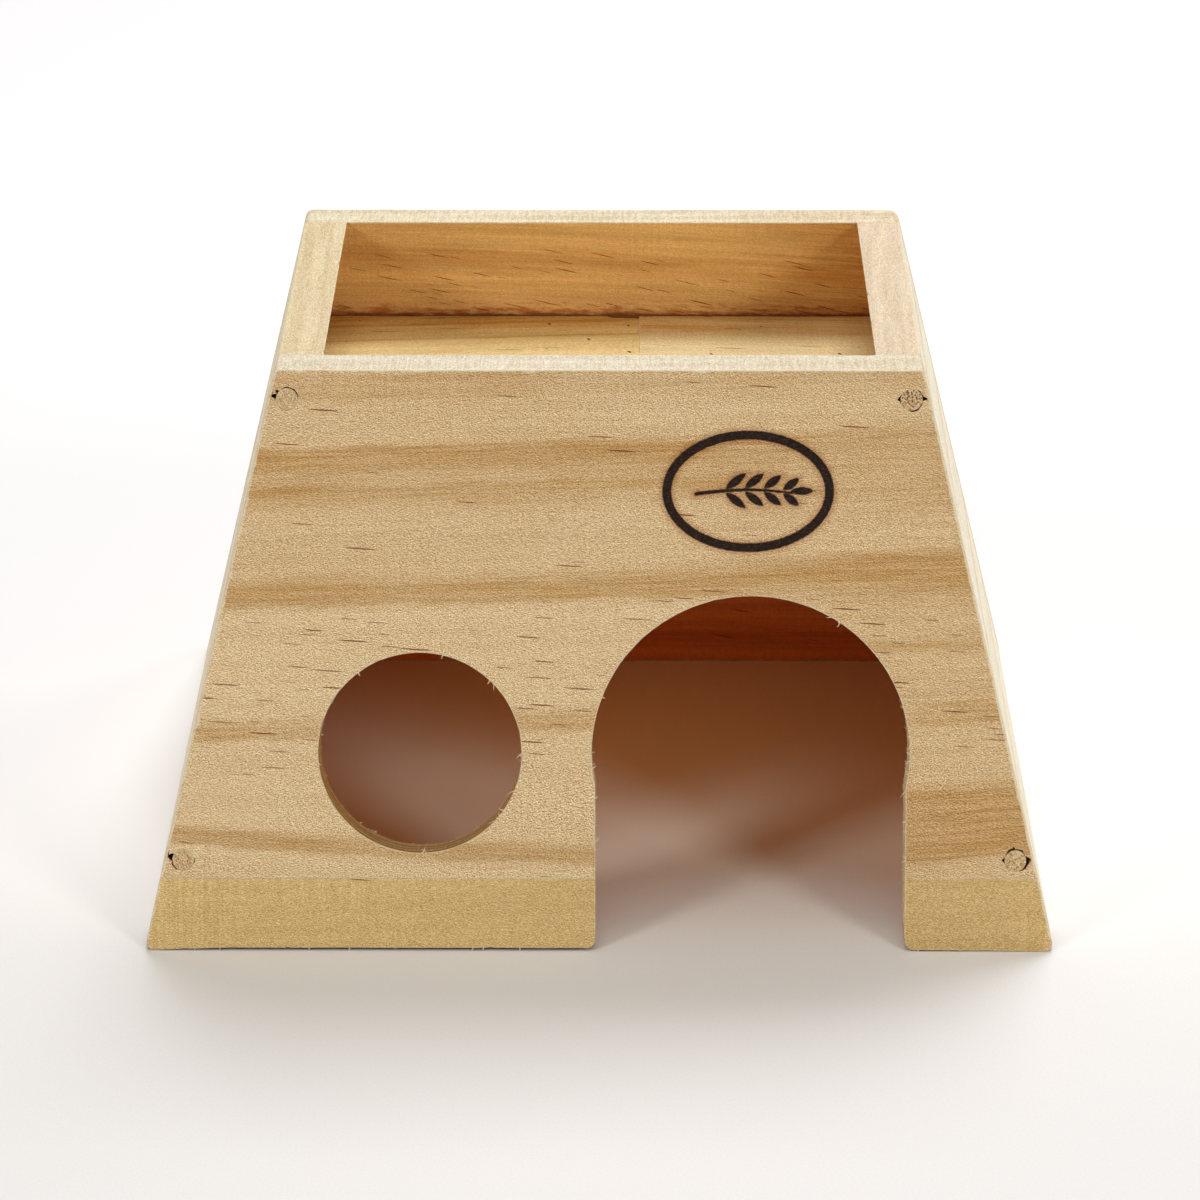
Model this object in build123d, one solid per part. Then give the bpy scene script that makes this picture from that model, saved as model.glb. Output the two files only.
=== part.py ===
from build123d import *
import os
from math import cos, radians, sin, tan

# A four-sided wooden hideout for a hamster. Every wall leans inwards, the foot is open, and a deck let
# in below the rim makes a shallow tray on top. The front board has a round window on the left and a
# keyhole doorway on the right.
#
# Frame: millimetres, X to the right and Y to the back as seen from the front, Z up.
# The origin lies on the ground, at the centre of the foot.

# Carcass
base_width = 165.0  # across the foot, outside
base_depth = 144.0  # front to back at the foot, outside
height = 103.0  # ground to rim
side_lean = 13.5  # degrees that the left and right walls lean inwards
end_lean = 13.5  # degrees that the front and back walls lean inwards
wall_board = 8.0  # thickness of all four walls, square to their faces
arris_radius = 0.7  # sanding radius on the outer edges and along rim and foot

# Front openings. Heights run up the slope of the front face from its foot.
opening_height = 36.5  # centre of the window and of the doorway's round head
doorway_diameter = 57.3
doorway_step = 0.65  # how far each side of the straight part stands in from the round head
doorway_margin = 18.0  # wood left between the doorway and the right-hand edge at its widest
doorway_foot_radius = 1.4  # rounding where the doorway's sides meet the ground
window_diameter = 36.6
window_gap = 12.7  # wood left between the window and the doorway at their widest
glue_line_height = 13.4  # joint between the front's main board and the strip below it, up the slope

# Deck, which wedges up between the leaning walls
tray_depth = 20.8  # rim to deck
deck_board = 8.0
deck_seam_offset = 7.3  # right of centre, where the two deck boards meet
deck_back_gap = 0.4  # shortfall of the deck at the back wall

# Dowel pins, driven square to the front and back faces into the end grain of the side boards
pin_diameter = 4.0
pin_length = 22.0
pin_edge_inset = 3.3  # pin centre to the sloping edge, across the face
pin_top_inset = 5.3  # pin centre to the rim, down the slope
pin_foot_inset = 16.8  # pin centre to the foot, up the slope
pin_chamfer = 0.5
pin_hole_clearance = 0.05  # radial
pin_end_space = 1.0  # glue space left past the pin's end

overrun = 20.0  # how far cutting tools run past what they cut


def wall_face(bearing: float, reach: float, lean: float) -> Plane:
    """Outer face of one wall, its foot at `reach` from the centre. Seen from outside, the plane's x
    points right and its y up the slope. Bearing 0 is the front, and 90 is the right."""
    turn, tilt = radians(bearing), radians(lean)
    return Plane(
        origin=(reach * sin(turn), -reach * cos(turn), 0),
        x_dir=(cos(turn), sin(turn), 0),
        z_dir=(sin(turn) * cos(tilt), -cos(turn) * cos(tilt), sin(tilt)),
    )


front_face = wall_face(0, base_depth / 2, end_lean)
right_face = wall_face(90, base_width / 2, side_lean)
back_face = wall_face(180, base_depth / 2, end_lean)
left_face = wall_face(270, base_width / 2, side_lean)
slope_length = height / cos(radians(end_lean))  # foot to rim along the front or back face


def half_width_at(slope: float) -> float:
    """Half the width of the front or back face, at a height measured up its slope."""
    return base_width / 2 - slope * cos(radians(end_lean)) * tan(radians(side_lean))


def wedge(low: float, high: float, inset: float, back_inset: float) -> Part:
    """Solid between two levels, inside the four wall faces moved inwards by `inset`. The back face
    has its own inset."""
    stock = Pos(0, 0, low) * Box(
        base_width + 2 * overrun, base_depth + 2 * overrun, high - low,
        align=(Align.CENTER, Align.CENTER, Align.MIN),
    )
    for face, depth in (
        (front_face, inset), (right_face, inset), (back_face, back_inset), (left_face, inset),
    ):
        stock = split(stock, bisect_by=face.offset(-depth), keep=Keep.BOTTOM)
    return stock


def through_front(outline: Sketch) -> Part:
    """Cutter for an opening drawn on the front face, square to the board."""
    return front_face * extrude(outline, amount=overrun, both=True)


def keyhole_outline(centre_x: float) -> Sketch:
    """Round head on a straight passage that runs out through the foot, its corners eased there."""
    half_passage = doorway_diameter / 2 - doorway_step
    head = Pos(centre_x, opening_height) * Circle(doorway_diameter / 2)
    passage = Pos(centre_x, opening_height) * Rectangle(
        2 * half_passage, opening_height + overrun, align=(Align.CENTER, Align.MAX)
    )
    outline = head + passage
    for side in (-1, 1):
        corner = Pos(centre_x + side * half_passage, 0)
        square = Rectangle(2 * doorway_foot_radius, 2 * doorway_foot_radius)
        eased = Pos(side * doorway_foot_radius, doorway_foot_radius) * Circle(doorway_foot_radius)
        outline += corner * (square - eased)
    return outline


def carcass() -> Part:
    """All four walls as one ring, sanded, before it is parted into boards."""
    ring = wedge(0, height, 0, 0) - wedge(-overrun, height + overrun, wall_board, wall_board)
    level = ring.edges().filter_by(Plane.XY)
    hips = ring.edges().filter_by(lambda edge: not is_level(edge)).sort_by(distance_out)[-4:]
    return fillet(level + hips, arris_radius)


def is_level(edge: Edge) -> bool:
    """True for an edge that keeps one height."""
    return abs((edge @ 0).Z - (edge @ 1).Z) < 1e-6


def distance_out(edge: Edge) -> float:
    """How far an edge's middle lies from the upright axis."""
    middle = edge @ 0.5
    return (middle.X**2 + middle.Y**2) ** 0.5


def openings() -> list[Part]:
    """Cutters for the doorway and the window, set out from the front face's right-hand edge."""
    doorway_x = half_width_at(opening_height) - doorway_margin - doorway_diameter / 2
    window_x = doorway_x - doorway_diameter / 2 - window_gap - window_diameter / 2
    window = Pos(window_x, opening_height) * Circle(window_diameter / 2)
    return [through_front(keyhole_outline(doorway_x)), through_front(window)]


def pin_places() -> dict[str, Location]:
    """Where each pin's centreline enters its wall, named by wall, side and height. Local Z points out."""
    places = {}
    for wall, face, mirror in (("front", front_face, 1), ("back", back_face, -1)):
        for level, slope in (("upper", slope_length - pin_top_inset), ("lower", pin_foot_inset)):
            for side, sign in (("left", -1), ("right", 1)):
                across = sign * mirror * (half_width_at(slope) - pin_edge_inset)
                places[f"pin_{wall}_{level}_{side}"] = face.location * Pos(across, slope, 0)
    return places


def pin(place: Location) -> Part:
    """A dowel pin, flush with the face outside and chamfered at its blind end."""
    rod = Cylinder(pin_diameter / 2, pin_length, align=(Align.CENTER, Align.CENTER, Align.MAX))
    blind_end = rod.edges().filter_by(GeomType.CIRCLE).sort_by(Axis.Z)[0]
    return place * chamfer(blind_end, pin_chamfer)


def pin_holes() -> list[Part]:
    """Drills for all pins, which start clear of the outer face."""
    depth = pin_length + pin_end_space
    drill = Pos(0, 0, -depth) * Cylinder(
        pin_diameter / 2 + pin_hole_clearance, depth + pin_diameter,
        align=(Align.CENTER, Align.CENTER, Align.MIN),
    )
    return [place * drill for place in pin_places().values()]


def walls() -> dict[str, Part]:
    """The cut and drilled ring, parted into its boards. Front and back run full width, over the ends
    of the side boards. The front is a main board and a strip below it, which the doorway divides."""
    ring = carcass().cut(*openings(), *pin_holes())
    front_joint, back_joint = front_face.offset(-wall_board), back_face.offset(-wall_board)
    front = split(ring, bisect_by=front_joint, keep=Keep.TOP)
    behind = split(ring, bisect_by=front_joint, keep=Keep.BOTTOM)
    side_boards = split(behind, bisect_by=back_joint, keep=Keep.BOTTOM).solids().sort_by(Axis.X)
    glue_line = Plane(
        origin=front_face.from_local_coords((0, glue_line_height, 0)), z_dir=front_face.y_dir
    )
    strips = split(front, bisect_by=glue_line, keep=Keep.BOTTOM).solids().sort_by(Axis.X)
    return {
        "front_board": split(front, bisect_by=glue_line, keep=Keep.TOP),
        "front_strip_left": strips[0],
        "front_strip_right": strips[-1],
        "back_board": split(behind, bisect_by=back_joint, keep=Keep.TOP),
        "side_board_left": side_boards[0],
        "side_board_right": side_boards[-1],
    }


def deck() -> dict[str, Part]:
    """Two boards edge to edge, bevelled all round to jam upwards against the leaning walls."""
    top = height - tray_depth
    panel = wedge(top - deck_board, top, wall_board, wall_board + deck_back_gap)
    seam = Plane.YZ.offset(deck_seam_offset)
    return {
        "deck_board_left": split(panel, bisect_by=seam, keep=Keep.BOTTOM),
        "deck_board_right": split(panel, bisect_by=seam, keep=Keep.TOP),
    }


def pins() -> dict[str, Part]:
    """All the dowel pins, by name."""
    return {name: pin(place) for name, place in pin_places().items()}


os.makedirs("parts", exist_ok=True)
for name, piece in {**walls(), **deck(), **pins()}.items():
    export_step(piece, f"parts/{name}.step")
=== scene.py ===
"""A bare pine hideout for a hamster: its boards, pins and studio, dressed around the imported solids.

Every length is in millimetres until it reaches a mesh, and then in metres. The frame is the solids' own:
X to the right and Y to the back as seen from the front, Z up, the origin on the ground under the middle.
"""

import logging
from dataclasses import dataclass, replace
from enum import Enum
from math import cos, pi, radians, sin, tan

import bpy
import numpy as np
from mathutils import Matrix, Vector
from mathutils.geometry import delaunay_2d_cdt


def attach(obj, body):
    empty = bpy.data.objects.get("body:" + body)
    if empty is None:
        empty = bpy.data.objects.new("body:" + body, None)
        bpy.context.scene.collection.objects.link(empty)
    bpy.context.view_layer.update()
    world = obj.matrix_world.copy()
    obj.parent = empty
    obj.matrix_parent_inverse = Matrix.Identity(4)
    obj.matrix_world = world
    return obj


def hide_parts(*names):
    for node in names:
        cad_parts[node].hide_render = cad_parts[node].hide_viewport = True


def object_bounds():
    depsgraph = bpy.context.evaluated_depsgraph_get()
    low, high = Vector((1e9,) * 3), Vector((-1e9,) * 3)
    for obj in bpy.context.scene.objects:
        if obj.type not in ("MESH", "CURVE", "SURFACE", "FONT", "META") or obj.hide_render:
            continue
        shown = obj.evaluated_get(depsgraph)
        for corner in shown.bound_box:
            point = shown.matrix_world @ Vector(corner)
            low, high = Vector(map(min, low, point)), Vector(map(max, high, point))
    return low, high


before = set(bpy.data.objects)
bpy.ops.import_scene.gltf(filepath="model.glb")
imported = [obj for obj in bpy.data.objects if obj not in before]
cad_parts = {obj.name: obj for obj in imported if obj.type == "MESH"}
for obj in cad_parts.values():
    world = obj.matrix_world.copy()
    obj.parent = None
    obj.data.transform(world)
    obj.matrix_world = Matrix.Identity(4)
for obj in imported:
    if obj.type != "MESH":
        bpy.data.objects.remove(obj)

Array = np.ndarray
Thing = bpy.types.Object
Group = bpy.types.NodeTree
Pair = tuple[float, float]
Triple = tuple[float, float, float]
CAD_BOX = [list(corner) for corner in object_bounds()]
MM = 0.001
log = logging.getLogger("hideout")


# ---------- Sizes and axes ----------


class Wall(Enum):
    """The four walls, each by the bearing in degrees that its outer face looks towards."""

    FRONT = 0
    RIGHT = 90
    BACK = 180
    LEFT = 270


@dataclass(frozen=True)
class FaceFrame:
    """A board's own axes: across and up its outer face, and out of it. Depth runs inwards."""

    origin: Array
    across: Array
    up: Array
    out: Array

    def place(self, across: Array, up: Array, depth: Array) -> Array:
        """Points in metres, of shape (n, 3): origin + across * a + up * s - out * depth."""
        on_face = self.origin + np.outer(across, self.across) + np.outer(up, self.up)
        return (on_face - np.outer(depth, self.out)) * MM


@dataclass(frozen=True)
class Carcass:
    """The sizes that every board is set out from, in mm and degrees."""

    width: float = 165.0
    depth: float = 144.0
    height: float = 103.0
    lean: float = 13.5
    board: float = 8.0
    arris: float = 0.36
    tray_depth: float = 20.8

    def face(self, wall: Wall) -> FaceFrame:
        """The outer face of one wall, its origin at the middle of the foot.

        Args:
            wall: Which of the four walls.

        Returns:
            The face's axes.
        """
        turn, tilt = radians(wall.value), radians(self.lean)
        reach = (self.depth if wall in (Wall.FRONT, Wall.BACK) else self.width) / 2
        return FaceFrame(
            origin=np.array([reach * sin(turn), -reach * cos(turn), 0.0]),
            across=np.array([cos(turn), sin(turn), 0.0]),
            up=np.array([-sin(turn) * sin(tilt), cos(turn) * sin(tilt), cos(tilt)]),
            out=np.array([sin(turn) * cos(tilt), -cos(turn) * cos(tilt), sin(tilt)]),
        )

    @property
    def rise(self) -> float:
        """How far a face leans in for each mm of height."""
        return tan(radians(self.lean))

    @property
    def slope(self) -> float:
        """Foot to rim, up the face."""
        return self.height / cos(radians(self.lean))

    @property
    def plumb_board(self) -> float:
        """A board's thickness measured level."""
        return self.board / cos(radians(self.lean))

    def half_width(self, slope: float) -> float:
        """Half of the front or back face's width at a height up the slope."""
        return self.width / 2 - slope * sin(radians(self.lean))

    def half_clear(self, size: float, level: float) -> float:
        """Half of the room at a level above ground, between two boards `size` apart at the foot."""
        return size / 2 - self.plumb_board - level * self.rise


# ---------- Numbers that wander ----------


WAVE_COUNT = 24
WAVE_PEAK = 7.0  # what so many cosines seldom add up to more than


def wavering(length: Array, longest: float, shortest: float, seed: int) -> Array:
    """Sum of cosines with wavelengths between two limits, which gives about -1 to 1 along a line.

    Args:
        length: Distances along the line.
        longest: Longest wavelength.
        shortest: Shortest wavelength.
        seed: Seed of the wavelengths and phases.

    Returns:
        One value for each distance.
    """
    rng = np.random.default_rng(seed)
    waves = 2 * pi / np.geomspace(longest, shortest, WAVE_COUNT)
    phases = rng.uniform(0, 2 * pi, WAVE_COUNT)
    return np.cos(np.outer(length, waves) + phases).sum(axis=1) / WAVE_PEAK


def smoothstep(low: float, high: float, value: Array) -> Array:
    """0 below low and 1 above high, with 3t^2 - 2t^3 between."""
    share = np.clip((value - low) / (high - low), 0, 1)
    return share * share * (3 - 2 * share)


# ---------- Outlines ----------


SHARPEST = 0.35  # least 1 + n1.n2 of a mitre, so that it stays short at a needle
FREE_EASE = 9.0  # limit of the easing on a straight run, in mm: none
ROUND_POINTS = 7
ROUND_EASE = 0.8  # share of a rounded corner's radius that its easing may take up
ROUGH_WAVES = (38.0, 1.1)  # longest and shortest wave of an uneven easing
ROUGH_LIMITS = (0.35, 2.2)  # least and most of the easing that is left
CHIP_WIDTHS = (0.35, 1.0)  # half widths of chips
CHIP_SHARES = (0.3, 1.0)  # square roots of their depths, as shares of the greatest


def mitres(points: Array) -> Array:
    """The mitre at each point of a closed line: m = (n1 + n2) / (1 + n1.n2), with n1 and n2 the normals
    of the two steps that meet there, so that a move of r along m is a move of r off both.

    Args:
        points: The line's points, the wood on their left, of shape (n, 2).

    Returns:
        Vectors into the wood, of shape (n, 2).
    """
    ahead = np.roll(points, -1, axis=0) - points
    ahead /= np.maximum(np.linalg.norm(ahead, axis=1, keepdims=True), 1e-9)
    normal = np.stack([-ahead[:, 1], ahead[:, 0]], axis=1)
    earlier = np.roll(normal, 1, axis=0)
    agreement = np.sum(normal * earlier, axis=1, keepdims=True)
    return (normal + earlier) / np.maximum(1 + agreement, SHARPEST)


@dataclass(frozen=True)
class Corner:
    """A corner of an outline, drawn on the outer face.

    The shifts are how far it moves for each mm of depth. The two easings are the sanding radii at the
    outer and the inner edge of the run that starts here, and the last value is how dark that run is with
    old glue and dust and with painted shade in its gaps and recesses, from 0 to 1.
    """

    across: float
    up: float
    shift_across: float = 0.0
    shift_up: float = 0.0
    radius: float = 0.0
    ease_outer: float = 0.2
    ease_inner: float = 0.2
    stain: float = 0.0


def eased(outer: float, inner: float, stain: float = 0.0) -> dict[str, float]:
    """The two easings and the darkening of a corner's run, dust and painted shade, by the names that Corner
    gives them.
    """
    return {"ease_outer": outer, "ease_inner": inner, "stain": stain}


@dataclass
class Outline:
    """A closed line round a board or a hole in it, the wood on its left: its points, and at each the
    shift, easings and darkening of its corner (dust and painted shade) and the most that an easing may be."""

    points: Array
    shift: Array
    ease_outer: Array
    ease_inner: Array
    most: Array
    stain: Array

    @property
    def travelled(self) -> Array:
        """Distance along the line to each of its points."""
        steps = np.linalg.norm(np.diff(self.points, axis=0), axis=1)
        return np.concatenate([[0.0], np.cumsum(steps)])

    def roughened(self, amount: float, seed: int) -> "Outline":
        """The same line with easings that vary along it by a share of themselves."""
        factor = np.clip(1 + amount * wavering(self.travelled, *ROUGH_WAVES, seed), *ROUGH_LIMITS)
        return replace(self, ease_outer=self.ease_outer * factor, ease_inner=self.ease_inner * factor)

    def chipped(self, count: int, size: float, seed: int, inner: bool = False) -> "Outline":
        """The same line with a few places where an edge has broken out.

        Args:
            count: How many chips.
            size: Greatest depth of a chip.
            seed: Seed of their places.
            inner: Whether it is the inner edge that has.

        Returns:
            A new outline, that edge's easing raised by a bell curve at each chip.
        """
        rng = np.random.default_rng(seed)
        travelled = self.travelled
        places = rng.uniform(0, travelled[-1], count)
        widths = rng.uniform(*CHIP_WIDTHS, count)
        depths = size * rng.uniform(*CHIP_SHARES, count) ** 2
        bells = (np.exp(-(((travelled[:, None] - places) / widths) ** 2)) * depths).sum(axis=1)
        edge = "ease_inner" if inner else "ease_outer"
        return replace(self, **{edge: getattr(self, edge) + bells})


def traced(corners: list[Corner], spacing: float) -> Outline:
    """Walks round the corners: a quadratic Bezier at each rounded one, then a straight run.

    Args:
        corners: The corners in order, the wood on the left.
        spacing: Distance between points along the runs.

    Returns:
        The outline. Shifts go evenly from one corner's to the next along a run.
    """
    place = np.array([(corner.across, corner.up) for corner in corners])
    shift = np.array([(corner.shift_across, corner.shift_up) for corner in corners])
    ease = np.array([(corner.ease_outer, corner.ease_inner, corner.stain) for corner in corners])
    radius = np.array([corner.radius for corner in corners])
    leave = np.roll(place, -1, axis=0) - place
    leave /= np.linalg.norm(leave, axis=1, keepdims=True)
    arrive = np.roll(leave, 1, axis=0)
    turn = np.arccos(np.clip(np.sum(arrive * leave, axis=1), -1, 1))
    trim = (radius * np.tan(turn / 2))[:, None]
    starts, ends = place - arrive * trim, place + leave * trim
    pieces, shifts, eases, most = [], [], [], []
    for index in range(len(corners)):
        after = (index + 1) % len(corners)
        rounded = radius[index] > 0
        t = np.linspace(0, 1, ROUND_POINTS if rounded else 1)[:, None]
        pieces.append((1 - t) ** 2 * starts[index] + 2 * t * (1 - t) * place[index] + t**2 * ends[index])
        shifts.append(np.repeat(shift[index : index + 1], len(t), axis=0))
        eases.append(np.tile((ease[index - 1] + ease[index]) / 2, (len(t), 1)))
        most.append(np.full(len(t), ROUND_EASE * radius[index] if rounded else FREE_EASE))
        run = starts[after] - ends[index]
        count = max(1, round(float(np.linalg.norm(run)) / spacing))
        t = np.arange(1, count)[:, None] / count
        pieces.append(ends[index] + t * run)
        shifts.append((1 - t) * shift[index] + t * shift[after])
        eases.append(np.tile(ease[index], (len(t), 1)))
        most.append(np.full(len(t), FREE_EASE))
    easing = np.concatenate(eases)
    easing = (np.roll(easing, 1, axis=0) + 2 * easing + np.roll(easing, -1, axis=0)) / 4
    line = np.concatenate(pieces)
    most_ease = np.concatenate(most)
    return Outline(line, np.concatenate(shifts), easing[:, 0], easing[:, 1], most_ease, easing[:, 2])


def circle(count: int) -> Array:
    """Angles of evenly spaced points round a circle, anticlockwise from 0."""
    return np.arange(count) * 2 * pi / count


def bored(across: float, up: float, radius: Array, ease: float, stain: float) -> Outline:
    """A round hole square to the face: a circle walked clockwise, so the wood is on its left.

    Args:
        across: Centre across the face.
        up: Centre up the face.
        radius: Radius at each of the evenly spaced points.
        ease: Easing of both edges.
        stain: How dark its wall is with dust and painted shade, from 0 to 1.

    Returns:
        The outline.
    """
    count = len(radius)
    angle = -circle(count)
    points = np.stack([across + radius * np.cos(angle), up + radius * np.sin(angle)], axis=1)
    even = np.full(count, ease)
    return Outline(
        points, np.zeros_like(points), even, even, np.full(count, FREE_EASE), np.full(count, stain)
    )


# ---------- Boards as closed surfaces ----------


CHUNK = 1500  # points that are looked at together, which bounds the memory
ROW_STEP = 0.866  # row spacing of a grid of even triangles, over its point spacing
KEEP_OFF = 0.6  # distance that a lattice keeps from the loops, over its spacing
SAME_POINT = 1e-7  # distance under which the triangulation joins two points


def chunks(points: Array) -> list[Array]:
    """The points in parts of about CHUNK."""
    return np.array_split(points, max(1, len(points) // CHUNK))


def within(points: Array, loops: list[Array]) -> Array:
    """Even-odd test: a ray to the right of each point crosses the loops an odd number of times.

    Args:
        points: Array of shape (n, 2).
        loops: Closed loops, each of shape (m, 2).

    Returns:
        True for each point inside.
    """
    start = np.concatenate(loops)
    end = np.concatenate([np.roll(loop, -1, axis=0) for loop in loops])
    inside = []
    for part in chunks(points):
        x, y = part[:, :1], part[:, 1:]
        spans = (start[:, 1] > y) != (end[:, 1] > y)
        height = np.where(end[:, 1] == start[:, 1], 1.0, end[:, 1] - start[:, 1])
        cross = start[:, 0] + (y - start[:, 1]) / height * (end[:, 0] - start[:, 0])
        inside.append(np.sum(spans & (x < cross), axis=1) % 2 == 1)
    return np.concatenate(inside)


def staggered(low: Array, high: Array, spacing: float) -> Array:
    """A grid of even triangles over a rectangle: every other row starts half a step along.

    Args:
        low: The rectangle's lower left corner.
        high: Its upper right corner.
        spacing: Distance between points.

    Returns:
        Points, of shape (n, 2).
    """
    rows = np.arange(low[1], high[1], spacing * ROW_STEP)
    across, up = np.meshgrid(np.arange(low[0], high[0], spacing), rows)
    across = across + (np.arange(len(rows)) % 2 * spacing / 2)[:, None]
    return np.stack([across.ravel(), up.ravel()], axis=1)


def lattice(loops: list[Array], spacing: float) -> Array:
    """A staggered grid of points inside the loops that keeps off them.

    Args:
        loops: Closed loops, each of shape (m, 2).
        spacing: Grid spacing.

    Returns:
        Points, of shape (n, 2).
    """
    border = np.concatenate(loops)
    points = staggered(border.min(axis=0), border.max(axis=0), spacing)
    points = points[within(points, loops)]
    nearest = [
        np.min((part[:, None, 0] - border[:, 0]) ** 2 + (part[:, None, 1] - border[:, 1]) ** 2, axis=1)
        for part in chunks(points)
    ]
    return points[np.concatenate(nearest) > (KEEP_OFF * spacing) ** 2]


def ring_faces(grid: Array) -> Array:
    """Four-sided faces between the rows of a grid of vertex indices, each row a closed ring."""
    ahead = np.roll(grid, -1, axis=1)
    return np.stack([grid[:-1], grid[1:], ahead[1:], ahead[:-1]], axis=-1).reshape(-1, 4)


def cap(centre: int, ring: Array) -> list[list[int]]:
    """Triangles from a vertex in the middle to each step of the first ring of a grid."""
    return np.stack([np.full(len(ring), centre), ring, np.roll(ring, -1)], axis=1).tolist()


class Board:
    """A closed board in the making: eased bands round its edges and holes, then its two faces.

    Each vertex also carries its place (across, up, depth) and how far it is on an arris that is worn
    and given a painted highlight, cut across the fibres, on the board's edge, and dark with dust and
    with painted shade in gaps and recesses.
    """

    VALUES = ("worn", "sawn", "flank", "stain")
    EASE_ROWS = 5
    TOOL_ROWS = 22
    TOOL_SPAN = (0.12, 0.94)  # of the thickness
    TOOL_GAP = 0.05  # between the tool's rows and the easings
    GROOVE_DUST_AND_SHADE = 3.2  # darkening for each mm of a groove's depth: dust and painted shade
    DUST_AND_SHADE_SPAN = (0.15, 0.85)  # share of the easing over which the dust and painted shade set in
    CUT_ACROSS = (0.25, 0.95)  # share of the edge's normal along the fibres, from planed to sawn
    SUPPORT = 0.28  # distance of the faces' first points from their loops
    DETAIL_MARGIN = 0.3  # by which detail clears the lattice round it
    FIBRE_POINTS = 4
    FIBRE_SIDES = 3
    FIBRE_ROOT = 0.12  # how deep a loose fibre is rooted in the wood
    FIBRE_THICK = 0.18
    FIBRE_TAPER = 0.6
    FIBRE_BARE = 4.0  # its value on the scale of worn and highlit arrises: quite bare
    FIBRE_BENDS = ((-1.3, -1.0, -0.1, 0.3), (1.3, 1.0, 0.3, 1.0))  # limits of a, b, c and l

    def __init__(self, axes: FaceFrame, thickness: float) -> None:
        """Starts an empty board.

        Args:
            axes: The outer face's axes.
            thickness: Board thickness.
        """
        self.axes = axes
        self.thickness = thickness
        self.count = 0
        self.places: list[Array] = []
        self.values: dict[str, list[Array]] = {key: [] for key in self.VALUES}
        self.faces: list[list[int]] = []
        self.outer_loops: list[tuple[Array, Array]] = []
        self.inner_loops: list[tuple[Array, Array]] = []

    def _add(self, across: Array, up: Array, depth: Array, **values: Array) -> Array:
        """Adds vertices, whose values are 0 where none are given.

        Args:
            across: Places across the face, in any shape.
            up: Places up the face.
            depth: Depths.
            **values: Vertex values, by name.

        Returns:
            The vertices' indices, in the shape of their places.
        """
        place = np.stack([across, up, depth], axis=-1).reshape(-1, 3)
        self.places.append(place)
        for key, runs in self.values.items():
            runs.append(values[key].ravel() if key in values else np.zeros(len(place)))
        self.count += len(place)
        return np.arange(self.count - len(place), self.count).reshape(across.shape)

    def edge(self, line: Outline, steps: "tuple[ToolStep, ...]" = ()) -> None:
        """Carries the edge's profile along an outline.

        The profile is a quadratic Bezier from the face to the wall, the wall, and a Bezier to the
        inner face. With r the easing, m the mitre and t from 0 to 1, a point of the first lies at
        corner + shift * depth + m * r * (1 - t)^2, at depth r * t^2. Tool steps widen a bored wall.

        Args:
            line: The outline.
            steps: Grooves that the tool left round the wall, which hold dust and painted shade.
        """
        t = np.linspace(0, 1, self.EASE_ROWS)[:, None]
        ease_outer = np.minimum(line.ease_outer, line.most)
        ease_inner = np.minimum(line.ease_inner, line.most)
        outer = ease_outer * t**2
        inner = self.thickness - ease_inner * t[::-1] ** 2
        inset = np.concatenate([ease_outer * (1 - t) ** 2, ease_inner * (1 - t[::-1]) ** 2])
        depth = np.concatenate([outer, inner])
        # Arris rows pale halfway round each easing: wear and a painted highlight.
        worn = np.repeat(np.concatenate([4 * t * (1 - t), 4 * t * (1 - t)]), len(line.points), axis=1)
        # Each run darkens past its easing, with dust and painted shade.
        past = smoothstep(*self.DUST_AND_SHADE_SPAN, t)
        dark = line.stain * np.concatenate([past, past[::-1]])
        if steps:
            share = np.linspace(*self.TOOL_SPAN, self.TOOL_ROWS)[:, None]
            level = share * self.thickness * np.ones(len(line.points))
            middle = np.clip(level, outer[-1] + self.TOOL_GAP, inner[0] - self.TOOL_GAP)
            cut = sum(step.cut(middle, line.travelled) for step in steps)
            inset = np.concatenate([inset[: self.EASE_ROWS], cut, inset[self.EASE_ROWS :]])
            depth = np.concatenate([outer, middle, inner])
            worn = np.concatenate([worn[: self.EASE_ROWS], middle * 0, worn[self.EASE_ROWS :]])
            dust_and_shade_in_grooves = line.stain + self.GROOVE_DUST_AND_SHADE * cut
            dark = np.concatenate([dark[: self.EASE_ROWS], dust_and_shade_in_grooves, dark[self.EASE_ROWS :]])
        mitre = mitres(line.points)
        across = line.points[:, 0] + line.shift[:, 0] * depth + mitre[:, 0] * inset
        up = line.points[:, 1] + line.shift[:, 1] * depth + mitre[:, 1] * inset
        heading = mitre / np.linalg.norm(mitre, axis=1, keepdims=True)
        on_wall = np.ones_like(depth)
        on_wall[0] = on_wall[-1] = 0
        sawn = smoothstep(*self.CUT_ACROSS, np.abs(heading[:, 0])) * on_wall
        flank = on_wall.copy()
        flank[1] = flank[-2] = 0.5
        grid = self._add(across, up, depth, worn=worn, sawn=sawn, flank=flank, stain=dark)
        self.faces += ring_faces(grid).tolist()
        self.outer_loops.append((np.stack([across[0], up[0]], axis=1), grid[0]))
        self.inner_loops.append((np.stack([across[-1], up[-1]], axis=1), grid[-1]))

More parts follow.
